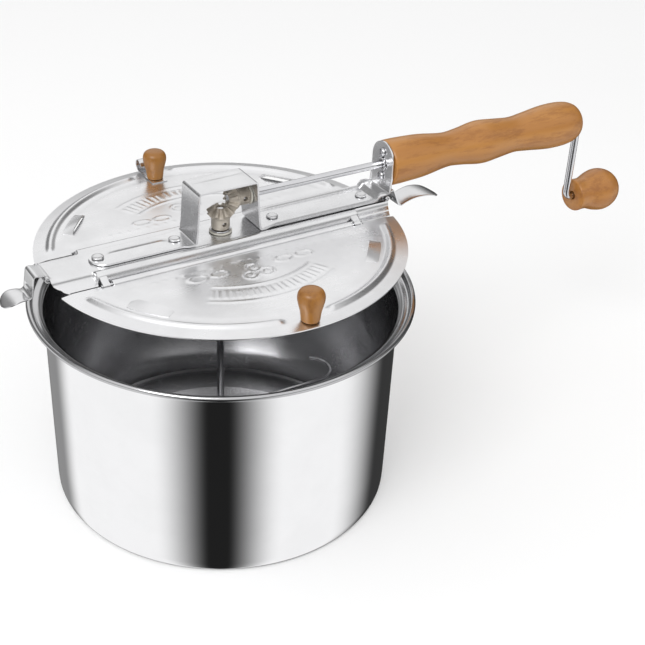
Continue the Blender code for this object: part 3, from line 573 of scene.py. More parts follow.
def make_grip():
    swells = ((0, 14.2), (0.9, 14.9), (3, 15.2), (12, 15.1), (28, 14.2), (48, 11.6), (60, 12.5), (76, 14.7),
              (90, 13.5), (104, 12.2), (116, 13.3), (132, 15.2), (144, 15.45), (152, 14.5), (156.4, 12.9),
              (158.6, 11.2), (159.6, 9.2), (159.8, 7.4))
    outer = [(r, GRIP_START + x) for x, r in smooth_line(swells, 6)]
    outline = [(3.2, GRIP_START + 0.2), (3.6, GRIP_START), (12.8, GRIP_START)] + outer + [(4.4, 281.0),
                                                                                          (3.4,
                                                                                           280.4), (3.2,
                                                                                                    279.0)]
    grip = turned("grip", outline, 96, "X", (0, 0, ROD_Z), closed=True)
    show(grip, 40, "lid_frame", GRIP_WOOD, "handle_grip")


def make_crank_knob():
    shape = ((0, 10.4), (0.5, 11.2), (1.6, 11.7), (4, 11.6), (7, 11.5), (11, 12.0), (17, 14.2), (24, 15.5),
             (30, 14.3), (35, 11.2), (38, 7.2), (39.2, 3.6), (39.5, 0.8))
    start = 291.5
    outer = [(r, start + x) for x, r in smooth_line(shape, 5)]
    outline = [(0, start + 27.5), (2.9, start + 27.5), (2.9, start + 0.6),
               (3.4, start)] + outer + [(0, start + 39.5)]
    knob = turned("turning_knob", outline, 80, "X", (0, 0, ARM_Z))
    show(knob, 40, "crank_knob", KNOB_WOOD, "crank_knob")


def make_lid_knob(name, y, foot, body, node):
    shape = ((0, 5.3), (0.5, 5.6), (2.0, 5.75), (6.0, 6.3), (10.0, 7.3), (13.5, 8.0), (16.0, 7.9),
             (18.0, 7.1),
             (19.2, 5.6), (19.8, 3.4), (20.0, 0.6))
    outer = [(r, over(foot + h)) for h, r in smooth_line(shape, 5)]
    outline = [(0, over(foot + 14.5)), (2.1, over(foot + 14.5)),
               (2.1, over(foot))] + outer + [(0, over(foot + 20.0))]
    knob = turned(name, outline, 64, "Z", (0, y, 0))
    show(knob, 40, body, LID_KNOB_WOOD, node)


# ---- lid leaves

RIM = 117.5
LEAF_EDGE = HINGE_Y + 0.5
VENTS = (38, 142)
VENT_R = 96.0


def ring_bump(distance, width):
    """A rounded rib, 1 on its middle line and 0 past half its width."""
    side = abs(distance) / (width / 2)
    return (math.cos(side * math.pi) + 1) / 2 if side < 1 else 0.0


def ornament(x, y):
    """Raised pattern of a leaf: an arched band of short ribs, blossoms and plain ovals."""
    radius = math.hypot(x, y)
    angle = math.degrees(math.atan2(x, y))
    raised = 0.0
    if abs(angle) < 33:
        inside = fade(33 - abs(angle), 0, 1.5)
        raised += inside * 0.8 * (ring_bump(radius - 62.5, 2.6) + ring_bump(radius - 79.5, 2.6))
        beat = (angle / 3.3) % 1.0 - 0.5
        tall = fade(radius, 65.5, 67.5) * fade(76.5 - radius, 0, 2.0)
        raised += inside * tall * ring_bump(beat, 0.72)
    for lobe_x, lobe_y, size in ((-5.5, 50.5, 4.6), (5.5, 50.5, 4.6), (0, 43.5, 4.6), (-5.5, 50.5, 1.4),
                                 (5.5, 50.5, 1.4), (0, 43.5, 1.4)):
        raised = max(raised, ring_bump(math.hypot(x - lobe_x, y - lobe_y) - size, 2.4))
    for place in (-36, -22, 22, 36):
        reach = math.hypot((x - place) / 5.8, (y - 41.0) / 3.2)
        raised = max(raised, ring_bump((reach - 1) * 3.6, 2.2))
    if 31.0 < y < 36.0 and abs(x) < 64:
        raised = max(raised, 0.6 * ring_bump((x / 6.4) % 1.0 - 0.5, 0.5) * ring_bump(y - 33.5, 4.0))
    return raised


def leaf_height(x, y):
    """Pressed shape of a leaf at (x, |y|): its border bead and its raised pattern."""
    radius = math.hypot(x, y)
    near_knob = fade(abs(x), 13.0, 17.5)
    near_hinge = fade(y, LEAF_EDGE + 8.0, LEAF_EDGE + 12.0)
    bead = 1.95 * ring_bump(radius - 106.6, 7.4) * near_knob * near_hinge
    field = 0.2 * fade(100.5 - radius, 0, 4.0) * near_hinge
    rim = 1.0 * min(1.0, max(0.0, (radius - 110.5) / 7.0))
    return bead + field - rim + 0.55 * ornament(x, y)


def make_vent_hood(side, angle):
    """Lanced louvre: a hood that slopes up towards the lid's middle, with a triangle at each end."""
    outer = [(-13.5, 3.2, 0.05), (-9.8, 4.2, 0.05), (0, 4.4, 0.05), (9.8, 4.2, 0.05), (13.5, 3.2, 0.05)]
    ridge = [(-13.8, -3.4, 0.05), (-9.2, -3.2, 2.6), (0, -3.2, 2.8), (9.2, -3.2, 2.6), (13.8, -3.4, 0.05)]
    between = [tuple((a + b) / 2 for a, b in zip(p, q)) for p, q in zip(outer, ridge)]
    hood = sheet("hood", [outer, between, ridge])
    thicken(hood, 0.6)
    hood.rotation_euler = (0, 0, math.radians(side * angle - 90))
    away = math.radians(side * angle)
    hood.location = Vector((VENT_R * math.cos(away), VENT_R * math.sin(away), over(LEAF - 0.1))) * MM
    settle(hood)
    return hood


def make_leaf(name, side, knob_y, body, node):
    """Half-disc leaf: a ring drawn inwards, cut at the hinge line, pressed, lanced and curled."""
    radii = [RIM, RIM - 0.4, RIM - 1.4, 113.5, 111.0]
    radii += [110.4 - 0.6 * k for k in range(13)]
    radii += [102.0 - 1.1 * k for k in range(66)]
    radii += [26.0, 22.0, 18.0]
    leave_edit()
    bpy.ops.mesh.primitive_circle_add(vertices=384, radius=radii[0] * MM)
    leaf = named(name)
    edit(leaf)
    grab_all()
    move((0, 0, over(LEAF)))
    for outer, inner in zip(radii, radii[1:]):
        bpy.ops.mesh.extrude_edges_move(TRANSFORM_OT_translate={"value": (0, 0, 0)})
        scale((inner / outer, inner / outer, 1))
    grab_all()
    bpy.ops.mesh.bisect(plane_co=(0, side * LEAF_EDGE * MM, 0), plane_no=(0, side, 0), clear_inner=True)
    grab_all()
    bpy.ops.mesh.normals_make_consistent(inside=False)
    bpy.ops.object.mode_set(mode="OBJECT")
    if leaf.data.polygons[0].normal.z < 0:
        leaf.data.flip_normals()
    for vertex in leaf.data.vertices:
        vertex.co.z += leaf_height(vertex.co.x / MM, abs(vertex.co.y) / MM) * MM
    leaf.data.update()
    thicken(leaf, LEAF_SHEET, -1.0)
    near = side * (HINGE_Y + 1.8)
    far = side * (HINGE_Y + 2.6)
    base = side * (HINGE_Y - 3)
    low, high = over(LEAF - 6), over(LEAF + 6)
    cut_away(leaf, block((-83.4, min(base, near), low), (83.4, max(base, near), high)))
    for end in (-1, 1):
        x0, x1 = sorted((end * 83.2, end * 91.0))
        cut_away(leaf, block((x0, min(base, far), low), (x1, max(base, far), high)))
    hoods = []
    for angle in VENTS:
        away = math.radians(side * angle)
        turn = math.radians(side * angle - 90)
        outline = []
        for x, y in ((-12.6, -2.9), (12.6, -2.9), (9.4, 3.6), (-9.4, 3.6)):
            outline.append((VENT_R * math.cos(away) + x * math.cos(turn) - y * math.sin(turn),
                            VENT_R * math.sin(away) + x * math.sin(turn) + y * math.cos(turn)))
        cut_away(leaf, prism(outline, low, high))
        hoods.append(make_vent_hood(side, angle))
    cut_away(leaf, drill(2.1, low, high, "Z", (0, knob_y, 0)))
    curl = turned("curl", [(1.35, -82.7), (1.6, -83.0), (2.15, -83.0), (2.4, -82.7), (2.4, 82.7),
                           (2.15, 83.0),
                           (1.6, 83.0), (1.35, 82.7)], 32, "X", (0, side * HINGE_Y, HINGE_Z), closed=True)
    leaf = merged(name, [leaf, curl] + hoods)
    show(leaf, 30, body, LEAF_STEEL, node)


def make_knob_screw(name, y, foot, body, node):
    """Pan-head screw up through a leaf into its knob, with a driver slot."""
    under = LEAF - LEAF_SHEET - GAP
    outline = [(0, over(under - 2.0)), (1.6, over(under - 2.0)), (2.8, over(under - 1.7)),
               (3.7, over(under - 1.0)),
               (3.95, over(under - 0.4)), (3.95, over(under)), (1.7, over(under))]
    height = under
    while height < foot + 11.5:
        outline += [(1.45, over(height + 0.3)), (1.7, over(height + 0.6)), (1.7, over(height + 0.75))]
        height += 1.0
    outline += [(1.4, over(foot + 12.9)), (0.6, over(foot + 13.6)), (0, over(foot + 13.8))]
    screw = turned(name, outline, 40, "Z", (0, y, 0))
    cut_away(screw, block((-5, y - 0.5, over(under - 3)), (5, y + 0.5, over(under - 1.2))))
    show(screw, 40, body, SCREW_STEEL, node)


def make_rear_catch():
    """Sprung strip under the rear knob that passes the rim and rolls back up on itself."""
    level = LEAF + GAP + CATCH_SHEET / 2
    path = [(REAR_KNOB_Y - 8.0, level), (RIM - 12.0, level), (RIM - 6.0, level), (RIM - 2.5, level)]
    path += arc((RIM - 2.5, level + 4.0), 4.0, -80, 172, 30)
    rows = []
    for y, z in path:
        rows.append([(5.6 * k / 4, y, over(z)) for k in range(-4, 5)])
    catch = sheet("sprung_catch", rows)
    thicken(catch, CATCH_SHEET)
    cut_away(catch, drill(2.1, over(-8), over(6), "Z", (0, REAR_KNOB_Y, 0)))
    soften(catch, 0.12, 2, 50)
    show(catch, 35, "rear_leaf", CLIP, "rear_catch")


# ---- bridge

MIDDLE_SECTION = ((0, 2), (6, 2), (11.4, 2), (12.4, 2.1), (13.2, 2.45), (14.0, 2.85), (14.9, 3.0),
                  (15.8, 3.0),
                  (16.7, 2.75), (17.4, 2.1), (17.9, 1.2), (18.3, 0.2), (18.6, -1.3), (18.9, -2.8))
END_SECTION = ((0, 2), (6, 2), (11.4, 2), (12.3, 1.95), (12.8, 1.4), (13.1, 0.4), (13.6, -0.8), (15.2, -1.25),
               (16.6, -1.5), (17.2, -1.75), (17.6, -2.3), (18.6, -2.6), (20.1, -2.75), (21.5, -2.9))
END_START = 92.0
BRIDGE_HALF = 117.5
SETBACK = {-1: 7.5, 1: 4.0}


def bridge_row(x):
    """Points across the bridge's top face at x, from the front skirt to the rear one."""
    share = fade(abs(x), 90.4, 92.0)
    run = max(0.0, (abs(x) - END_START) / (BRIDGE_HALF - END_START))
    half = []
    for (y0, z0), (y1, z1) in zip(MIDDLE_SECTION, END_SECTION):
        y = y0 + (y1 - y0) * share
        z = z0 + (z1 - z0) * share
        pull = 0.0
        if y > 12.5:
            pull = SETBACK[-1 if x < 0 else 1] * run * (y - 12.5) / 8.4
        half.append((x - math.copysign(pull, x), y, over(z)))
    return [(px, -py, pz) for px, py, pz in half[:0:-1]] + half


def curled_tab(name, path, low, high, along, gauge):
    """A narrow tab bent along a path in a side plane, from low to high along an axis."""
    rows = []
    for a, b in path:
        if along == "X":
            rows.append([(low + (high - low) * k / 3, a, over(b)) for k in range(4)])
        else:
            rows.append([(a, low + (high - low) * k / 3, over(b)) for k in range(4)])
    tab = sheet(name, rows)
    thicken(tab, gauge)
    return tab


def make_bridge():
    """Pressed bridge: flat top between two ribs, skirts at its ends, lugs and ears rolled from it."""
    stations = [-117.5, -117.2, -112, -106, -99, -93, -92.0, -91.6, -91.2, -90.8, -90.4, -89]
    stations += [10.0 * k for k in range(-8, 9)]
    stations += [-x for x in stations[11::-1]]
    bridge = sheet("pressed_bridge", [bridge_row(x) for x in stations])
    thicken(bridge, BRIDGE_SHEET, -1.0)
    for end in (-1, 1):
        x0, x1 = sorted((end * 116.1, end * 119.0))
        cut_away(bridge, block((x0, -7.9, over(-2)), (x1, 7.9, over(6))))
    for x in RIVETS:
        cut_away(bridge, drill(2.3, over(-2), over(6), "Z", (x, 0, 0)))
    cut_away(bridge, drill(4.9, over(-2), over(6), "Z", (0, 0, 0)))
    soften(bridge, 0.15, 2, 50)
    tabs = []
    for side in (-1, 1):
        path = [(side * 15.0, 1.1), (side * 17.6, 0.6), (side * 19.4, -0.2), (side * 20.8, -1.35)]
        ring = arc((side * HINGE_Y, HINGE_HEIGHT), 1.7, 90, 90 - side * 290, 20)
        for end in (-1, 1):
            low, high = sorted((end * 85.0, end * 89.5))
            tabs.append(curled_tab("lug", path + ring, low, high, "X", 0.8))
    for end in (-1, 1):
        path = [(end * 113.5, 0.95), (end * 116.2, 0.95)]
        ring = arc((end * CLIP_PIN_X, CLIP_PIN_HEIGHT), 1.5, -100 if end > 0 else 280,
                   160 if end > 0 else 20, 20)
        for low, high in ((-10.1, -7.9), (7.9, 10.1)):
            tabs.append(curled_tab("ear", path + ring, low, high, "Y", 0.6))
    bridge = merged("pressed_bridge", [bridge] + tabs)
    show(bridge, 32, "lid_frame", SATIN, "bridge")


# ---- strap

CROSS_HALF = (0, 0.1, 0.22, 0.34, 0.5, 0.64, 0.78, 0.88, 0.93, 0.965, 0.985, 1)
CROSS_SHARES = [-share for share in CROSS_HALF[:0:-1]] + list(CROSS_HALF)


def strap_line():
    """Middle line of the strap: (x, height above the lid, half width, wall height)."""
    line = []
    for step in range(1, 13):
        turn = math.radians(7.5 * step)
        line.append((-88.5 + TIP_HALF * (1 - math.cos(turn)), STRAP_MID, TIP_HALF * math.sin(turn), 0))
    line += [(x, STRAP_MID, TIP_HALF, 0) for x in (-76, -74, -70, -60, -50, -42, -40, -38, -33)]
    line += [(-30, STRAP_MID, 10.3, 0), (-27.5, STRAP_MID, STRAP_HALF, 0), (-25.5, STRAP_MID, STRAP_HALF, 0)]
    lean = math.degrees(math.atan2(22.2 - 20.0, BOX_TOP - STRAP_MID))
    head = BOX_TOP - STRAP_SHEET / 2
    line += [(x, z, STRAP_HALF, 0) for x, z in arc((-24.0, STRAP_MID + 1.8), 1.8, -90, -lean, 8)]
    line += [(-21.4, 11.0, STRAP_HALF, 0), (-20.9, 19.0, STRAP_HALF, 0), (-20.4, 27.0, STRAP_HALF, 0)]
    line += [(x, z, STRAP_HALF, 0) for x, z in arc((-18.2, head - 1.8), 1.8, 180 - lean, 90, 8)]
    line += [(-9, head, STRAP_HALF, 0), (0, head, STRAP_HALF, 0), (9, head, STRAP_HALF, 0)]
    line += [(x, z, STRAP_HALF, 0) for x, z in arc((18.2, head - 1.8), 1.8, 90, lean, 8)]
    line += [(20.4, 27.0, STRAP_HALF, 0), (20.9, 19.0, STRAP_HALF, 0), (21.4, 11.0, STRAP_HALF, 0)]
    line += [(x, z, STRAP_HALF, 0) for x, z in arc((24.0, STRAP_MID + 1.8), 1.8, 180 + lean, 270, 8)]
    line += [(26.5, STRAP_MID, STRAP_HALF, 0.1), (29.0, STRAP_MID, STRAP_HALF, 1.2),
             (33.0, STRAP_MID, STRAP_HALF, 2.6)]
    line += [(x, STRAP_MID, STRAP_HALF, 2.9) for x in (40, 50, 60, 70, 80, 90, 100, 107)]
    line += [(109.5, STRAP_MID, STRAP_HALF, 3.2), (111.0, STRAP_MID + 1.5, STRAP_HALF, 3.6)]
    line += [(112.5, STRAP_MID + 3.0, STRAP_HALF, 4.0), (115.0, STRAP_MID + 3.0, STRAP_HALF, 3.4)]
    for x, z in arc((118.2, STRAP_MID + 4.8), 1.8, -90, 0, 8):
        line.append((x, z, STRAP_HALF, 1.6))
    line += [(PLATE_X, 13.5, STRAP_HALF, 0.8), (PLATE_X, 17.0, STRAP_HALF, 0), (PLATE_X, 22.0, STRAP_HALF, 0)]
    for step in range(0, 12):
        rise = math.radians(7.5 * step)
        line.append((PLATE_X, 39.0 - STRAP_HALF + STRAP_HALF * math.sin(rise), STRAP_HALF * math.cos(rise),
                     0))
    line.append((PLATE_X, 39.0, 0.6, 0))
    return line


def make_strap():
    """One bent strap: round tip, pressed rib, gear box, channel and the plate behind the grip."""
    line = strap_line()
    rows = []
    for i, (x, z, half, wall) in enumerate(line):
        before, after = line[max(i - 1, 0)], line[min(i + 1, len(line) - 1)]
        run = math.hypot(after[0] - before[0], after[1] - before[1])
        normal = (-(after[1] - before[1]) / run, (after[0] - before[0]) / run)
        row = []
        for share in CROSS_SHARES:
            edge = abs(share)
            lift = 0.7 * wall * (0.12 * fade(edge, 0.1, 0.9) + 0.88 * fade(edge, 0.93, 0.99))
            if -77 < x < -37 and half <= TIP_HALF:
                lift += 0.9 * ring_bump(share * half, 8.4) * fade(x, -77, -73) * fade(-x, 37, 41)
            if abs(x) < 18 and z > 30:
                lift -= 0.5 * ring_bump(share - 0.5, 0.3)
            row.append((x + normal[0] * lift, share * half, over(z + normal[1] * lift)))
        rows.append(row)
    strap = sheet("bent_strap", rows)
    thicken(strap, STRAP_SHEET)
    for x in RIVETS:
        cut_away(strap, drill(2.3, over(-2), over(8), "Z", (x, 0, 0)))
    cut_away(strap, drill(4.5, 15, 26, "X", (0, 0, ROD_Z)))
    cut_away(strap, drill(3.1, 116, 124, "X", (0, 0, ROD_Z)))
    for lift in (-SCREW_REACH, SCREW_REACH):
        cut_away(strap, drill(1.8, 116, 124, "X", (0, 0, ROD_Z + lift)))
    soften(strap, 0.2, 2, 50)
    show(strap, 32, "lid_frame", SATIN, "handle_strap")


def make_rivets():
    """Flat-headed rivets through the strap and the bridge."""
    top = STRAP_MID + STRAP_SHEET / 2 + GAP
    under = BRIDGE_TOP - BRIDGE_SHEET - GAP
    outline = [(0, under - 1.2), (2.2, under - 1.2), (2.9, under - 0.9), (3.2, under - 0.4), (3.2, under),
               (2.0, under), (2.0, top), (3.6, top), (3.8, top + 0.15), (3.75, top + 0.7), (3.4, top + 1.05),
               (2.9, top + 1.15), (2.6, top + 0.98), (1.2, top + 1.0), (0, top + 1.02)]
    first = turned("flat_rivet_1", [(r, over(z)) for r, z in outline], 48, "Z", (RIVETS[0], 0, 0))
    show(first, 35, "lid_frame", RIVET, "rivet_1")
    for k, x in enumerate(RIVETS[1:]):
        rivet = copied(first, "flat_rivet_%d" % (k + 2))
        rivet.location.x = (x - RIVETS[0]) * MM
        settle(rivet)
        show(rivet, 35, "lid_frame", RIVET, "rivet_%d" % (k + 2))


def make_grip_screws():
    """Round-head screws through the plate into the grip."""
    head = PLATE_X - STRAP_SHEET / 2 - GAP
    outline = [(0, head - 1.8), (1.2, head - 1.75), (2.2, head - 1.4), (2.8, head - 0.8), (3.0, head - 0.2),
               (3.0, head), (1.5, head), (1.5, 134.5), (0, 136.2)]
    first = turned("round_screw_1", outline, 40, "X", (0, 0, ROD_Z + SCREW_REACH))
    cut_away(first, block((head - 3, -0.4, ROD_Z + 4), (head - 1.0, 0.4, ROD_Z + 12)))
    show(first, 40, "lid_frame", SCREW_STEEL, "handle_screw_1")
    second = copied(first, "round_screw_2")
    second.location.z = -2 * SCREW_REACH * MM
    settle(second)
    show(second, 40, "lid_frame", SCREW_STEEL, "handle_screw_2")


def make_plate_ring():
    """Toothed lock ring on the crank rod against the plate."""
    ring = turned("lock_ring", [(2.9, 118.4), (4.6, 118.4), (4.95, 118.6), (4.95, 118.9), (4.6, 119.1),
                                (2.9, 119.1)],
                  48, "X", (0, 0, ROD_Z), closed=True)
    for k in range(8):
        turn = 2 * math.pi * (k + 0.5) / 8
        cut_away(ring, drill(0.55, 117, 121, "X", (0, 4.9 * math.cos(turn), ROD_Z + 4.9 * math.sin(turn)),
                             12))
    show(ring, 35, "lid_frame", SCREW_STEEL, "plate_star_ring")


def make_bushes():
    outline = [(2.8, -1.4), (3.0, -1.6), (4.4, -1.6), (4.6, -1.4), (4.6, 2.3), (6.9, 2.3), (7.2, 2.5),
               (7.2, 3.1),
               (6.8, 3.4), (3.2, 3.4), (2.8, 3.2)]
    bush = turned("stirrer_bearing", [(r, over(z)) for r, z in outline], 48, closed=True)
    show(bush, 35, "lid_frame", NYLON, "stirrer_bush")
    wall = 22.2 - 2.2 * (ROD_Z - LID - STRAP_MID) / (BOX_TOP - STRAP_MID)
    outline = [(2.8, wall - 2.0), (3.0, wall - 2.2), (6.1, wall - 2.2), (6.4, wall - 1.9), (6.4, wall - 1.2),
               (4.2, wall - 1.2), (4.2, wall + 1.7), (3.9, wall + 2.0), (3.1, wall + 2.0), (2.8, wall + 1.8)]
    bush = turned("crank_bearing", outline, 48, "X", (0, 0, ROD_Z), closed=True)
    show(bush, 35, "lid_frame", NYLON, "crank_bush")


def make_pins():
    """Hinge wires and clip pins, each with rounded ends."""
    def rounded(radius, half):
        outline = [(0, -half)] + [(radius * math.sin(t), -half + radius * 0.5 * (1 - math.cos(t)))
                                  for t in (0.5, 1.0, 1.4)] + [(radius, -half + radius * 0.55)]
        return outline + [(r, -h) for r, h in reversed(outline)]

    for name, side in (("front_hinge_wire", -1), ("rear_hinge_wire", 1)):
        pin = turned(name + "_drawn", rounded(0.95, 90.2), 20, "X", (0, side * HINGE_Y, HINGE_Z))
        show(pin, 50, "lid_frame", DRAWN, name)
    for name, end in (("left_clip_pin", -1), ("right_clip_pin", 1)):
        pin = turned(name + "_drawn", rounded(0.9, 10.4), 20, "Y", (end * CLIP_PIN_X, 0, CLIP_PIN_Z))
        show(pin, 50, "lid_frame", SCREW_STEEL, name)
    for name, place, body in (("crank_gear_pin", (GEAR_PIN_REACH, 0, ROD_Z), "crank"),
                              ("stirrer_gear_pin", (0, 0, ROD_Z - GEAR_PIN_REACH), "stirrer")):
        pin = turned(name + "_drawn", rounded(0.95, 4.6), 20, "Y", place)
        show(pin, 50, body, SCREW_STEEL, name)


# ---- crank, gears and stirrer

def make_tooth(scale_outer, scale_inner):
    """One coarse cast tooth, lower and narrower towards the cone's tip."""
    bpy.ops.mesh.primitive_cube_add(size=2)
    tooth = named("tooth")
    for vertex in tooth.data.vertices:
        size = scale_outer if vertex.co.x > 0 else scale_inner
        across = math.copysign(1.0, vertex.co.y)
        pitch = 8.0 * size
        if vertex.co.z > 0:
            reach, half = 1.2 * size * 0.7071, 1.0 * size
        else:
            reach, half = -2.4 * size * 0.7071, 1.7 * size
        vertex.co = Vector((pitch + reach, across * half, -pitch + reach)) * MM
    tooth.data.update()
    clean(tooth, 0.001)
    soften(tooth, 0.4, 3, 30)
    return tooth


def make_gear(name, body, node, place, turn, phase, bore):
    """Cast bevel gear: a hub with a boss and a pin hole, and eight coarse teeth."""
    hub = turned(name, [(bore, -18.4), (bore + 0.3, -18.6), (5.4, -18.6), (5.8, -18.2), (5.9, -17.4),
                        (5.9, -11.8),
                        (6.3, -10.9), (7.1, -10.2), (7.3, -9.4), (7.0, -9.05), (3.6, -4.7), (bore, -4.5)],
                 64, closed=True)
    cut_away(hub, drill(1.55, -8, 8, "Y", (0, 0, -GEAR_PIN_REACH), 24))
    leave_edit()
    tooth = make_tooth(1.05, 0.5)
    pieces = [hub]
    for k in range(TEETH):
        one = copied(tooth, "tooth_%d" % k)
        one.rotation_euler = (0, 0, 2 * math.pi * (k + phase) / TEETH)
        settle(one)
        pieces.append(one)
    bpy.data.objects.remove(tooth, do_unlink=True)
    gear = merged(name, pieces)
    gear.rotation_euler = turn
    gear.location = Vector(place) * MM
    settle(gear)
    show(gear, 30, body, GEAR, node)


def make_crank_rod():
    low = ARM_Z
    path = [(4.6, 0, ROD_Z), (60, 0, ROD_Z), (150, 0, ROD_Z), (280.0, 0, ROD_Z)]
    path += [(x, 0, z) for x, z in arc((280.0, ROD_Z - 5.5), 5.5, 82, 0, 12)]
    path += [(x, 0, z) for x, z in arc((291.0, low + 5.5), 5.5, 180, 270, 12)]
    path += [(317.5, 0, low)]
    rod = wire("bent_rod", path, 2.5, 24)
    cut_away(rod, drill(1.2, -5, 5, "Y", (GEAR_PIN_REACH, 0, ROD_Z), 16))
    soften(rod, 0.25, 2, 60)
    show(rod, 40, "crank", DRAWN, "crank_rod")


def make_stirrer():
    foot = over(-137.5)
    top = ROD_Z - 5.4
    shaft = turned("stirrer_rod", [(0, foot), (2.1, foot), (2.5, foot + 0.5), (2.5, top - 0.5), (2.1, top),
                                   (0, top)],
                   40)
    cross = foot + 3.0
    cut_away(shaft, drill(1.8, -5, 5, "X", (0, 0, cross), 24))
    cut_away(shaft, drill(1.2, -5, 5, "Y", (0, 0, ROD_Z - GEAR_PIN_REACH), 16))
    show(shaft, 40, "stirrer", UPRIGHT_STEEL, "stirrer_shaft")
    for name, node, outline in (
            ("bearing_washer", "thrust_washer", [(2.8, 3.8), (6.4, 3.8), (6.6, 3.95), (6.6, 4.35),
                                                 (6.4, 4.5), (2.8, 4.5)]),
            ("shaft_clip", "shaft_retainer", [(2.8, -3.2), (5.2, -3.2), (5.4, -3.0), (5.4, -2.4), (5.2, -2.2),
                                              (2.8, -2.2)])):
        ring = turned(name, [(r, over(z)) for r, z in outline], 48, closed=True)
        show(ring, 35, "stirrer", SCREW_STEEL, node)
    arm = [(x, 0, -1.4 * fade(x, 7.0, 15.0)) for x in (3, 7, 8.5, 10, 11.5, 13, 15, 30, 48, 70)]
    arm += [(x, y, -1.4) for x, y in arc((80, 15), 15, -90, 60, 24)]
    other = [(-x, -y, z) for x, y, z in reversed(arm)]
    wires = wire("stirring_wire", [(x, y, cross + z) for x, y, z in other + arm], 1.5, 16)
    show(wires, 40, "stirrer", DRAWN, "stirrer_wire")


# ---- clips

def make_clip(name, end, swing, tongue, body, node):
    """Spring clip: ribbed curl round its pin, arm, hanging plate with a catch, and a leaf-shaped tongue."""
    path = []
    for k, (x, z) in enumerate(arc((0, 0), 1.65, 20, -270, 36)):
        ripple = 1.0 - 0.05 * (k % 2)
        path.append((x * ripple, z * ripple, CLIP_HALF))
    path += [(0.4 + 0.3 * k, 1.65 - 0.14 * (1 - math.cos(math.pi * k / 2)), CLIP_HALF) for k in range(17)]
    path += [(x, z, CLIP_HALF) for x, z in arc((5.8, -0.15), 1.8, 80, 0, 10)]
    path += [(7.6, z, CLIP_HALF) for z in (-2.0, -5.0, -6.4, -7.0, -7.6, -8.4, -9.2, -10.6)]
    path += [(x, z, CLIP_HALF) for x, z in arc((10.0, -10.6), 2.4, 190, 275, 10)]
    x, z = path[-1][:2]
    steps = 24
    for step in range(1, steps + 1):
        share = step / steps
        slope = math.radians(8.0 - 62.0 * share)
        x += tongue / steps * math.cos(slope)
        z += tongue / steps * math.sin(slope)
        past = max(0.0, (tongue * share - (tongue - 9.0)) / 9.0)
        width = CLIP_HALF + 1.4 * min(1.0, 2 * share)
        path.append((x, z, max(0.8, width * math.sqrt(max(0.0, 1 - past ** 2)))))
    rows = []
    for x, z, half in path:
        row = []
        for k in range(-6, 7):
            y = half * k / 6
            inward = 0.0
            if x > 7.5 and -9.6 < z < -6.2:
                inward = 1.3 * fade(5.6 - abs(y), 0, 1.4) * ring_bump(z + 7.9, 3.4)
            dish = 0.35 * (k / 6) ** 2 if x > 9.5 else 0.0
            row.append((x - inward, y, z - dish))
        rows.append(row)
    clip = sheet(name, rows)
    thicken(clip, CLIP_SHEET)
    soften(clip, 0.12, 2, 60)
    clip.rotation_euler = (0, math.radians(-swing), 0)
    settle(clip)
    if end < 0:
        clip.rotation_euler = (0, 0, math.pi)
    clip.location = Vector((end * CLIP_PIN_X, 0, CLIP_PIN_Z)) * MM
    settle(clip)
    show(clip, 24, body, CLIP, node)


make_pot()
make_grip()
make_crank_knob()
make_lid_knob("front_lid_knob", FRONT_KNOB_Y, FRONT_KNOB_FOOT, "front_leaf", "front_knob")
make_lid_knob("rear_lid_knob", REAR_KNOB_Y, REAR_KNOB_FOOT, "rear_leaf", "rear_knob")
make_leaf("front_lid_leaf", -1, FRONT_KNOB_Y, "front_leaf", "front_leaf")
make_leaf("rear_lid_leaf", 1, REAR_KNOB_Y, "rear_leaf", "rear_leaf")
make_knob_screw("front_pan_screw", FRONT_KNOB_Y, FRONT_KNOB_FOOT, "front_leaf", "front_knob_screw")
make_knob_screw("rear_pan_screw", REAR_KNOB_Y, REAR_KNOB_FOOT, "rear_leaf", "rear_knob_screw")
make_rear_catch()
make_bridge()
make_strap()
make_rivets()
make_grip_screws()
make_plate_ring()
make_bushes()
make_pins()
make_gear("driving_gear", "crank", "crank_gear", (0, 0, ROD_Z), (0, -math.pi / 2, 0), 0.5, 2.8)
make_gear("driven_gear", "stirrer", "stirrer_gear", (0, 0, ROD_Z), (0, 0, 0), 0.0, 2.8)
make_crank_rod()
make_stirrer()
make_clip("left_spring_clip", -1, 9.0, 15.7, "left_clip", "left_clip")
make_clip("right_spring_clip", 1, 22.0, 33.0, "right_clip", "right_clip")


# ---- floor, light and camera

def make_floor():
    leave_edit()
    bpy.ops.mesh.primitive_plane_add(size=9)
    floor = named("floor")
    material, nodes, shader, place = start_material("pale_floor")[:4]
    speck = nodes.add("ShaderNodeTexNoise", inputs={"Vector": place, "Scale": 3.0})
    tint = nodes.add("ShaderNodeMix", data_type="RGBA", inputs={
        0: speck.outputs["Fac"], 6: (0.93, 0.93, 0.93, 1), 7: (0.92, 0.92, 0.92, 1)})
    nodes.feed(shader, {"Base Color": tint.outputs[2], "Roughness": 0.8})
    floor.data.materials.append(material)
    floor.visible_glossy = False


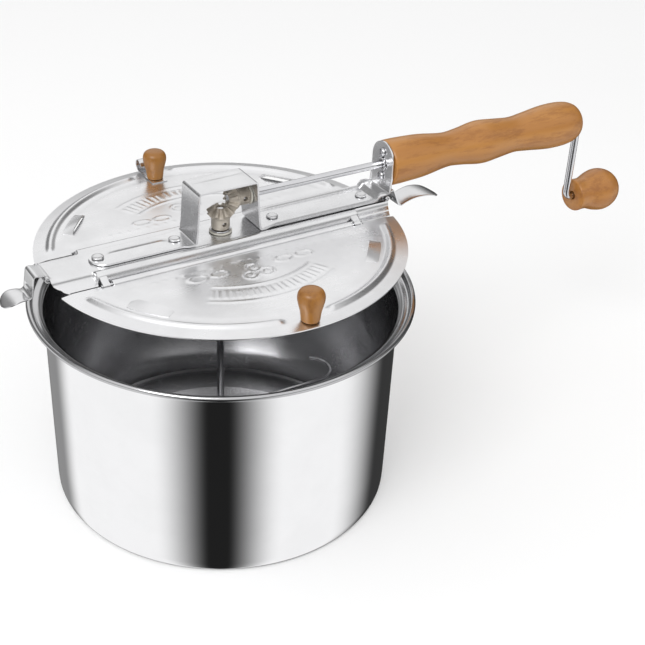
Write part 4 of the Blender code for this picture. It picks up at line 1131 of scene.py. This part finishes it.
def make_world():
    """White studio with two dark upright screens and a grey one, which the bright steel mirrors."""
    world = bpy.data.worlds.new("studio")
    bpy.context.scene.world = world
    world.use_nodes = True
    nodes = Nodes(world.node_tree)
    output = nodes.add("ShaderNodeOutputWorld")
    ray = nodes.add("ShaderNodeTexCoord").outputs["Generated"]
    parts = nodes.add("ShaderNodeSeparateXYZ", inputs={0: ray})
    angle = nodes.math("ARCTAN2", parts.outputs[1], parts.outputs[0])

    def screen(centre, half, softness, darkness):
        """A dark upright screen: centre, half width and softness in degrees of azimuth."""
        away = nodes.math("SUBTRACT", angle, math.radians(centre))
        wrapped = nodes.add("ShaderNodeMath", operation="WRAP", inputs={0: away, 1: math.pi, 2: -math.pi})
        wrapped = nodes.math("ABSOLUTE", wrapped.outputs[0])
        edge = nodes.add("ShaderNodeMapRange", interpolation_type="SMOOTHSTEP", inputs={
            "Value": wrapped, "From Min": math.radians(half - softness),
            "From Max": math.radians(half + softness),
            "To Min": darkness, "To Max": 1.0})
        return edge.outputs[0]

    def step_up(low, high):
        """0 for directions below low and 1 above high, by the sine of their elevation."""
        return nodes.add("ShaderNodeMapRange", interpolation_type="SMOOTHSTEP", inputs={
            "Value": parts.outputs[2], "From Min": low, "From Max": high,
            "To Min": 0.0, "To Max": 1.0}).outputs[0]

    def between(low, high, share):
        """Blend from low to high by share."""
        return nodes.math("ADD", nodes.math("MULTIPLY", low, nodes.math("SUBTRACT", 1.0, share)),
                          nodes.math("MULTIPLY", high, share))

    below = nodes.math("MULTIPLY", screen(-118.5, 26.0, 20.0, 0.015), screen(30.0, 38.0, 25.0, 0.04))
    below = nodes.math("MULTIPLY", below, screen(90.0, 26.0, 12.0, 0.28))
    above = nodes.math("MULTIPLY", screen(124.0, 26.0, 12.0, 0.30), screen(8.0, 28.0, 14.0, 0.12))
    above = between(above, 1.0, step_up(0.70, 0.86))
    horizon = between(1.0, 0.30, step_up(-0.12, 0.02))
    horizon = between(horizon, 1.0, step_up(0.16, 0.40))
    light = nodes.math("MULTIPLY", between(below, above, step_up(-0.02, 0.08)), horizon)
    lamp = nodes.add("ShaderNodeBackground", inputs={"Color": light, "Strength": 1.0})
    plain = nodes.add("ShaderNodeBackground", inputs={"Color": (0.95, 0.95, 0.95, 1), "Strength": 1.0})
    path = nodes.add("ShaderNodeLightPath")
    mix = nodes.add("ShaderNodeMixShader", inputs={0: path.outputs["Is Glossy Ray"], 1: plain.outputs[0],
                                                   2: lamp.outputs[0]})
    nodes.tree.links.new(mix.outputs[0], output.inputs[0])


def make_lamp(name, place, target, size, power):
    lamp = bpy.data.lights.new(name, "AREA")
    lamp.shape = "RECTANGLE"
    lamp.size, lamp.size_y = size
    lamp.energy = power
    obj = bpy.data.objects.new(name, lamp)
    obj.location = place
    obj.rotation_euler = (Vector(target) - Vector(place)).to_track_quat("-Z", "Y").to_euler()
    bpy.context.collection.objects.link(obj)


def make_camera():
    camera = bpy.data.cameras.new("camera")
    camera.lens = 68.06
    camera.sensor_width = 36.0
    camera.shift_x = 0.158
    obj = bpy.data.objects.new("camera", camera)
    obj.location = (-0.3117, -0.6066, 0.535)
    obj.rotation_euler = (math.radians(58.28), 0, math.radians(-27.2))
    bpy.context.collection.objects.link(obj)
    bpy.context.scene.camera = obj


make_floor()
make_world()
make_lamp("key_light", (-0.9, -0.6, 1.3), (0, 0, 0.1), (0.8, 0.8), 9.0)
make_camera()
bpy.context.scene.view_settings.view_transform = "Standard"
